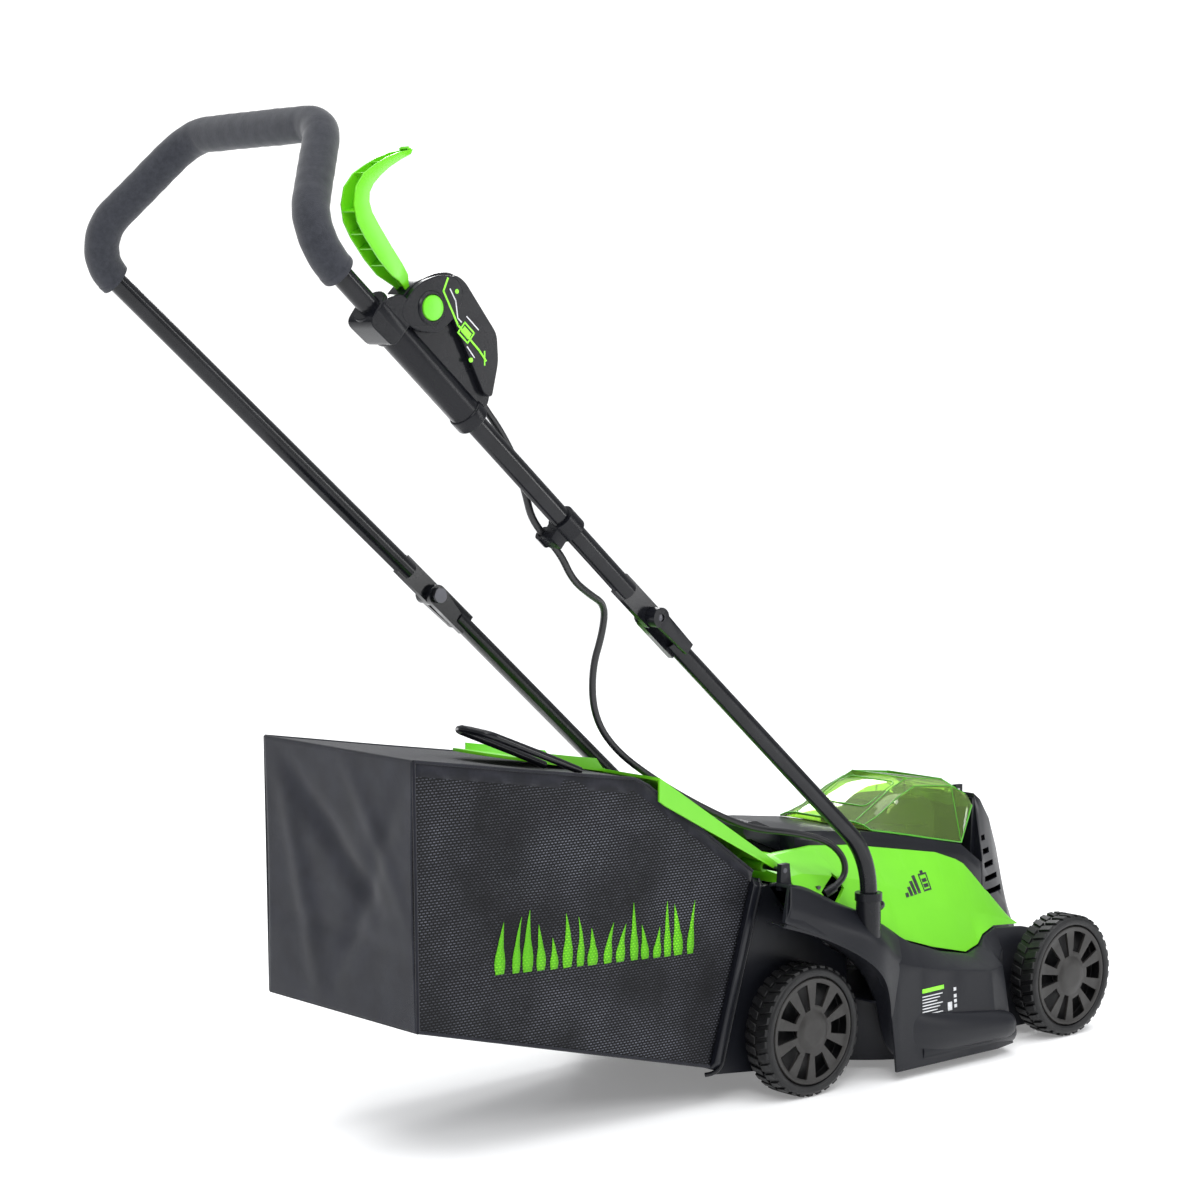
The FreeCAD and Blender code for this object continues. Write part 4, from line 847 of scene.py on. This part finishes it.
def build_pictogram():
    """A plain line drawing on the panel: a bent bar with a block on it."""
    bm = bmesh.new()
    strip(bm, [(-101, 75), (-105, 62), (-141, 49), (-178, 48), (-191, 46)], 2.0, DRUM_LEVEL)
    strip(bm, [(-184, 52), (-193, 42)], 1.6, PANEL_LEVEL)
    strip(bm, [(-146, 44), (-162, 44), (-162, 57), (-146, 57), (-146, 44)], 1.6, PANEL_LEVEL)
    prism(bm, [(-148, 47), (-160, 47), (-160, 54), (-148, 54)], PANEL_LEVEL - 0.2, PANEL_LEVEL + 0.4, BOX)
    for x, z in ((-118, 73), (-176, 34)):
        dot = [(x + 2.4 * math.cos(k * math.pi / 5), z + 2.4 * math.sin(k * math.pi / 5)) for k in range(10)]
        prism(bm, dot, PANEL_LEVEL - 0.2, PANEL_LEVEL + 0.9, BOX)
    put("panel_drawing", bm, mark_green, "upper_handle")
    bm = bmesh.new()
    strip(bm, [(-110, 69), (-123, 65), (-136, 54), (-142, 54)], 1.3, DRUM_LEVEL)
    strip(bm, [(-164, 63), (-144, 63)], 1.2, PANEL_LEVEL)
    strip(bm, [(-164, 41), (-178, 39)], 1.1, PANEL_LEVEL)
    put("panel_drawing_light", bm, label_white, "upper_handle")


# the bail's back line: x, z, channel depth, half width outboard, half width inboard
BAIL_SPINE = [
    (-92, 41, 4, 5.0, 5.0), (-84, 42.5, 7, 7.0, 7.0), (-75, 44.5, 7, 8.0, 8.0),
    (-66, 49, 13, 11.5, 11.5), (-54, 51.5, 17.5, 12.5, 12.5), (-34, 55, 20, 12.5, 12.5),
    (-8, 60.5, 21, 12.5, 12.5), (6, 64.2, 20.5, 12.5, 11.5), (15, 69.5, 19, 12.5, 10.0),
    (20.5, 76.5, 17.5, 12.5, 8.6), (22.5, 86, 15.5, 12.5, 6.8), (21.5, 98, 12.5, 12.4, 5.8),
    (18.5, 112, 10, 12.2, 5.6), (13, 127, 7.5, 11.8, 5.5), (7.2, 139.5, 4.5, 11.2, 5.2),
    (8.5, 144.6, 3.6, 10.6, 5.0), (13.2, 143.4, 3.2, 10.0, 4.8),
]
# ribs: number of the spine's step, and the share of the step
BAIL_RIBS = ((4, 0.6), (5, 0.45), (6, 0.15), (7, 0.6), (10, 0.0), (11, 0.6))


def bail_ring(bm, spot, before, after, section, shift=0.0):
    """Points of a cross-section, given as (y, depth), square to the run from one spine point to another."""
    run = Vector((after[0] - before[0], 0, after[1] - before[1])).normalized()
    inward = Vector((run.z, 0, -run.x))
    return [bm.verts.new(BOX @ ((Vector((spot[0], y, spot[1])) + inward * depth + run * shift) * MM))
            for y, depth in section]


def build_bail():
    """Open channel with cross ribs, bent forward at its upper end."""
    bm = bmesh.new()
    wall = 2.0
    rings = []
    for n, spot in enumerate(BAIL_SPINE):
        depth, out, inboard = spot[2:]
        section = [(-inboard, depth), (-inboard - 0.6, 0.9), (-inboard + 1.4, -0.6), (out - 1.4, -0.6),
                   (out + 0.6, 0.9), (out, depth), (out - wall, depth), (out - wall, wall),
                   (-inboard + wall, wall), (-inboard + wall, depth)]
        before, after = BAIL_SPINE[max(n - 1, 0)], BAIL_SPINE[min(n + 1, len(BAIL_SPINE) - 1)]
        rings.append(bail_ring(bm, spot, before, after, section))
    bridge(bm, rings, caps=True)
    for n, share in BAIL_RIBS:
        before, after = BAIL_SPINE[n], BAIL_SPINE[n + 1]
        spot = [a + (b - a) * share for a, b in zip(before, after)]
        depth, out, inboard = spot[2:]
        low, high = (1.5 - inboard, out - 1.5)
        section = [(low, 1.5), (high, 1.5), (high, depth - 1.0), (low, depth - 1.0)]
        bridge(bm, [bail_ring(bm, spot, before, after, section, shift) for shift in (-0.7, 0.7)], caps=True)
    eye = [(3.1, -12.4), (6.4, -12.4), (7.0, -11.6), (7.0, 11.6), (6.4, 12.4), (3.1, 12.4)]
    lathe(bm, eye, BOX @ Matrix.Translation(BAIL_PIN) @ FACE_OUT, 40)
    put("bail_channel", bm, bail_green, "bail", ["bail_lever"], 34, 0.0006, 2)


build_switch_box()
build_button()
build_pictogram()
build_bail()


# ---- power cable

CABLE_ROUTE = [
    (-506, -193, 812), (-492, -190, 796), (-462, -181, 770), (-436, -174, 738), (-422, -172, 706),
    (-415, -175, 674.5), (-378, -175, 642.5), (-355, -168, 612), (-322, -158, 594), (-286, -142, 580),
    (-276, -126, 548), (-281, -114, 508), (-272, -106, 456), (-236, -100, 414), (-176, -102, 374),
    (-110, -110, 337), (-50, -122, 309), (6, -136, 301), (54, -146, 287), (80, -149, 262),
    (78, -148, 236), (52, -144, 225.8),
]


def build_cable():
    """The cable along its route from the handle down to the deck, as one piece on no body."""
    curve = bpy.data.curves.new("cable_line", "CURVE")
    curve.dimensions = "3D"
    curve.resolution_u = 6
    spline = curve.splines.new("NURBS")
    spline.points.add(len(CABLE_ROUTE) - 1)
    for point, spot in zip(spline.points, CABLE_ROUTE):
        point.co = (*P(*spot), 1)
    spline.order_u = 3
    spline.use_endpoint_u = True
    carrier = bpy.data.objects.new("cable_line", curve)
    scene.collection.objects.link(carrier)
    bpy.context.view_layer.update()
    trace = bpy.data.meshes.new_from_object(carrier)
    line = [vertex.co.copy() for vertex in trace.vertices]
    bpy.data.objects.remove(carrier)
    bpy.data.meshes.remove(trace)
    bm = bmesh.new()
    sweep(bm, line, 0.0039, 14)
    cable = put("cable_run", bm, cable_black, None, ["power_cable"], 50)
    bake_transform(cable)


build_cable()


# ---- grass bag

BAG_HALF = 133.0
TOP_LINE = [(-539, 432), (-380, 407), (-228, 384), (-56.4, 262)]
FLOOR_LINE = [(-535, 150), (-122.4, 46.5)]


def along(points, share):
    """A point part of the way along a line in the side view."""
    spots = [Vector(p) for p in points]
    want = share * length_of(spots)
    for start, end in zip(spots, spots[1:]):
        length = (end - start).length
        if want <= length + 1e-9:
            return start.lerp(end, want / length)
        want -= length
    return spots[-1]


def crease(u, v, start, end, width, height):
    """A soft ridge between two places on a panel."""
    a, b, p = Vector(start), Vector(end), Vector((u, v))
    run = b - a
    t = max(0.0, min(1.0, (p - a).dot(run) / run.length_squared))
    gap = (p - a - run * t).length
    fade = math.sin(math.pi * min(1.0, max(0.0, t * 0.9 + 0.05))) ** 0.5
    return height * fade * math.exp(-(gap / width) ** 2)


def side_spot(u, v):
    """Side panel: u from rear to front, v from floor to top, in the side view."""
    top = along(TOP_LINE, u)
    low = along(FLOOR_LINE, u)
    return low.lerp(top, v)


# creases: start and end in (u, v), width, height in millimetres
SIDE_CREASES = [
    ((0.0, 0.98), (0.62, 0.25), 0.05, 2.6), ((0.02, 0.9), (0.30, 0.1), 0.045, -2.4),
    ((0.35, 1.0), (0.85, 0.35), 0.05, 2.2), ((0.15, 0.95), (0.95, 0.72), 0.04, -2.0),
    ((0.05, 0.05), (0.55, 0.5), 0.06, 1.8), ((0.60, 0.9), (0.98, 0.05), 0.05, -2.0),
    ((0.0, 0.55), (0.4, 0.62), 0.035, 1.6),
]
REAR_CREASES = [
    ((0.05, 0.98), (0.75, 0.42), 0.06, 7.5), ((0.1, 0.9), (0.35, 0.05), 0.06, -5.0),
    ((0.95, 0.93), (0.45, 0.12), 0.06, 4.5), ((0.55, 0.98), (0.98, 0.38), 0.05, -4.0),
    ((0.02, 0.32), (0.9, 0.28), 0.045, 3.5), ((0.3, 0.62), (0.98, 0.66), 0.045, -3.0),
]


def cloth(name, spot, columns, rows, material, replaced):
    """A thin sheet over a unit square of (u, v)."""
    bm = bmesh.new()
    grid = [[bm.verts.new(spot(i / columns, j / rows)) for j in range(rows + 1)] for i in range(columns + 1)]
    bridge(bm, grid, around=False)
    panel = put(name, bm, material, "grass_bag", replaced, 80)
    thicken(panel, 0.0011, 0)
    return panel


def bulge(u, v):
    """How far out a panel's middle stands, as a share."""
    return math.sin(math.pi * u) * math.sin(math.pi * v)


def ripple(u, v, across, tall, seed, height):
    """Uneven waves that die away toward the panel's edges."""
    return bulge(u, v) ** 0.35 * height * noise.noise(Vector((u * across, v * tall, seed)))


def folds(u, v, creases):
    return bulge(u, v) ** 0.35 * sum(crease(u, v, *line) for line in creases)


def build_side(side, sign):
    def spot(u, v):
        flat = side_spot(u, v)
        push = 3.2 * bulge(u, v) + folds(u, v, SIDE_CREASES) + ripple(u, v, 5, 4, sign * 3.0, 1.2)
        return P(flat.x, sign * (BAG_HALF + push), flat.y)
    replaced = ["bag_sides"] if side == "right" else []
    return cloth("bag_side_" + side, spot, 110, 64, bag_mesh, replaced)


def build_rear():
    def spot(u, v):
        x, z = Vector(FLOOR_LINE[0]).lerp(Vector(TOP_LINE[0]), v)
        pull = 3.0 * math.sin(math.pi * v) * (2 * u - 1)
        push = 5.0 * bulge(u, v) + folds(u, v, REAR_CREASES) + ripple(u, v, 4, 5, 1.7, 2.0)
        return P(x + push * 0.9 - 1.5, BAG_HALF * (1 - 2 * u) + pull, z)
    return cloth("bag_back", spot, 80, 84, bag_woven, ["bag_rear"])


def build_top():
    def spot(u, v):
        flat = along(TOP_LINE, u)
        dip = 2.4 * bulge(min(1, u * 1.4), v) + ripple(u, v, 6, 4, 5.1, 1.5)
        return P(flat.x, BAG_HALF * (1 - 2 * v), flat.y - dip + 0.4)
    return cloth("bag_lid_cloth", spot, 90, 44, bag_solid, ["bag_top"])


def build_base():
    def spot(u, v):
        flat = along(FLOOR_LINE, u)
        sag = 5.0 * bulge(u, v) + ripple(u, v, 5, 4, 8.3, 1.5)
        return P(flat.x, BAG_HALF * (1 - 2 * v), flat.y - sag)
    return cloth("bag_base_cloth", spot, 70, 44, bag_solid, ["bag_floor"])


def build_piping():
    """Seam piping along the panel edges."""
    bm = bmesh.new()
    for sign in (-1, 1):
        for line in (TOP_LINE, FLOOR_LINE, [FLOOR_LINE[0], TOP_LINE[0]]):
            spots = [along(line, n / 24) for n in range(25)]
            sweep(bm, [P(p.x, sign * (BAG_HALF + 0.2), p.y + 0.4) for p in spots], 0.0020, 10)
    for x, z in (TOP_LINE[0], FLOOR_LINE[0]):
        sweep(bm, [P(x, BAG_HALF * (1 - 2 * n / 10), z) for n in range(11)], 0.0020, 10)
    return put("bag_piping", bm, bag_solid, "grass_bag", angle=50)


def build_wire():
    """Wire that clips the cloth to the front frame."""
    bm = bmesh.new()
    for sign in (-1, 1):
        wire = rounded([P(-48, sign * 134, 252), P(-50, sign * 140.5, 246), P(-112, sign * 140.5, 40),
                        P(-122, sign * 126, 36)], [0.006, 0.02], 0.003)
        sweep(bm, wire, 0.0026, 12)
    put("bag_wire", bm, tube_black, "grass_bag", angle=50)


def build_binding():
    """Binding strip along the top of each side panel."""
    bm = bmesh.new()
    for sign in (-1, 1):
        rows = []
        for n in range(61):
            u = n / 60
            edge, low = along(TOP_LINE, u), side_spot(u, 1 - 13 / 250)
            rows.append([bm.verts.new(P(edge.x, sign * (BAG_HALF + 1.0), edge.y)),
                         bm.verts.new(P(low.x, sign * (BAG_HALF + 1.35 + 0.5 * math.sin(u * 40)), low.y))])
        bridge(bm, rows, around=False)
    binding = put("bag_binding", bm, bag_solid, "grass_bag", angle=60)
    thicken(binding, 0.0008)
    return binding


def build_bag():
    """The cloth panels and their trims."""
    panels = {side: build_side(side, sign) for side, sign in (("right", -1), ("left", 1))}
    panels.update(rear=build_rear(), top=build_top(), floor=build_base())
    piping = build_piping()
    build_wire()
    binding = build_binding()
    return panels


panels = build_bag()


def grass_blade(x, foot, lean, width, height):
    """Pairs of points up a bent, tapering blade."""
    pairs = []
    for n in range(9):
        t = n / 8
        half = max(width / 2 * (1 - t ** 1.8) * (0.75 + 0.25 * math.sin(math.pi * min(1, t * 2))), 0.15)
        middle = x + lean * t * t
        pairs.append([(middle - half, foot + height * t), (middle + half, foot + height * t)])
    return pairs


def build_mark():
    """A generic row of grass blades on the side panels."""
    dice = random.Random(5)
    first, last, level = -428.0, -138, 196.0
    for side, sign in (("right", -1), ("left", 1)):
        tree = surface(panels[side])
        bm = bmesh.new()
        x = first
        while x < last:
            height = 34 + 34 * dice.random()
            lean = 16 * (dice.random() - 0.4)
            width = 11 + 5 * dice.random()
            rows = []
            for pair in grass_blade(x, level - (x - first) * 0.055, lean, width, height):
                hits = [tree.ray_cast(P(px, sign * 200, pz), Vector((0, -sign, 0)))[0] for px, pz in pair]
                rows.append([bm.verts.new(hit + Vector((0, sign * 0.0005, 0))) for hit in hits])
            bridge(bm, rows, around=False)
            x += width + 2.5 + 4.0 * dice.random()
        mark = put("bag_grass_mark_" + side, bm, bag_mark, "grass_bag", angle=80)
        thicken(mark, 0.0003)


build_mark()


# ---- floor and light

def build_floor():
    """A white studio floor that stays out of the model."""
    paint = Paint("floor", (0.95, 0.95, 0.955), 0.22, specular=0.10)
    paint.shader.inputs["Emission Color"].default_value = (1, 1, 1, 1)
    paint.shader.inputs["Emission Strength"].default_value = 0.22
    paint.bump(paint.noise(300, 2), 0.0001, 0.05)
    mesh = bpy.data.meshes.new("floor")
    mesh.from_pydata([(-30, -30, 0), (30, -30, 0), (30, 30, 0), (-30, 30, 0)], [], [(0, 1, 2, 3)])
    mesh.materials.append(paint.material)
    floor = bpy.data.objects.new("floor", mesh)
    floor.location.z = -0.0005
    scene.collection.objects.link(floor)


def build_world():
    """White behind the object; for its light, a dome that is dark below and bright above."""
    world = bpy.data.worlds.new("studio")
    world.use_nodes = True
    parts = world.node_tree.nodes
    join = world.node_tree.links.new
    backdrop = parts["Background"]
    backdrop.inputs["Color"].default_value = (1, 1, 1, 1)
    backdrop.inputs["Strength"].default_value = 1.2
    dome = parts.new("ShaderNodeBackground")
    dome.inputs["Color"].default_value = (0.96, 0.98, 1, 1)
    position = parts.new("ShaderNodeTexCoord")
    split = parts.new("ShaderNodeSeparateXYZ")
    rise = parts.new("ShaderNodeMapRange")
    for socket, number in (("From Min", -0.1), ("From Max", 0.9), ("To Min", 0.07), ("To Max", 1.0)):
        rise.inputs[socket].default_value = number
    ray = parts.new("ShaderNodeLightPath")
    choose = parts.new("ShaderNodeMixShader")
    join(position.outputs["Generated"], split.inputs["Vector"])
    join(split.outputs["Z"], rise.inputs["Value"])
    join(rise.outputs["Result"], dome.inputs["Strength"])
    join(ray.outputs["Is Camera Ray"], choose.inputs["Fac"])
    join(dome.outputs["Background"], choose.inputs[1])
    join(backdrop.outputs["Background"], choose.inputs[2])
    join(choose.outputs["Shader"], parts["World Output"].inputs["Surface"])
    scene.world = world


def build_sun():
    """Soft light from overhead."""
    data = bpy.data.lights.new("overhead", "SUN")
    data.energy = 1.9
    data.angle = math.radians(60)
    sun = bpy.data.objects.new("overhead", data)
    sun.rotation_euler = (math.radians(8), math.radians(-6), 0)
    scene.collection.objects.link(sun)


def lamp(name, location, target, size, power):
    """A rectangular light turned to a target."""
    data = bpy.data.lights.new(name, "AREA")
    data.shape = "RECTANGLE"
    data.size, data.size_y = size
    data.energy = power
    item = bpy.data.objects.new(name, data)
    item.location = location
    item.rotation_mode = "QUATERNION"
    item.rotation_quaternion = (Vector(target) - Vector(location)).to_track_quat("-Z", "Y")
    scene.collection.objects.link(item)


build_floor()
build_world()
build_sun()
lamp("key", (-2.2, -2.6, 2.6), (0, 0, 0.3), (1.2, 1.2), 42)
lamp("rim", (1.6, 2.4, 2.2), (0, 0, 0.4), (1.4, 0.8), 36)
lamp("right", (1.8, -2.4, 1.0), (0.3, 0, 0.2), (0.4, 1.4), 14)
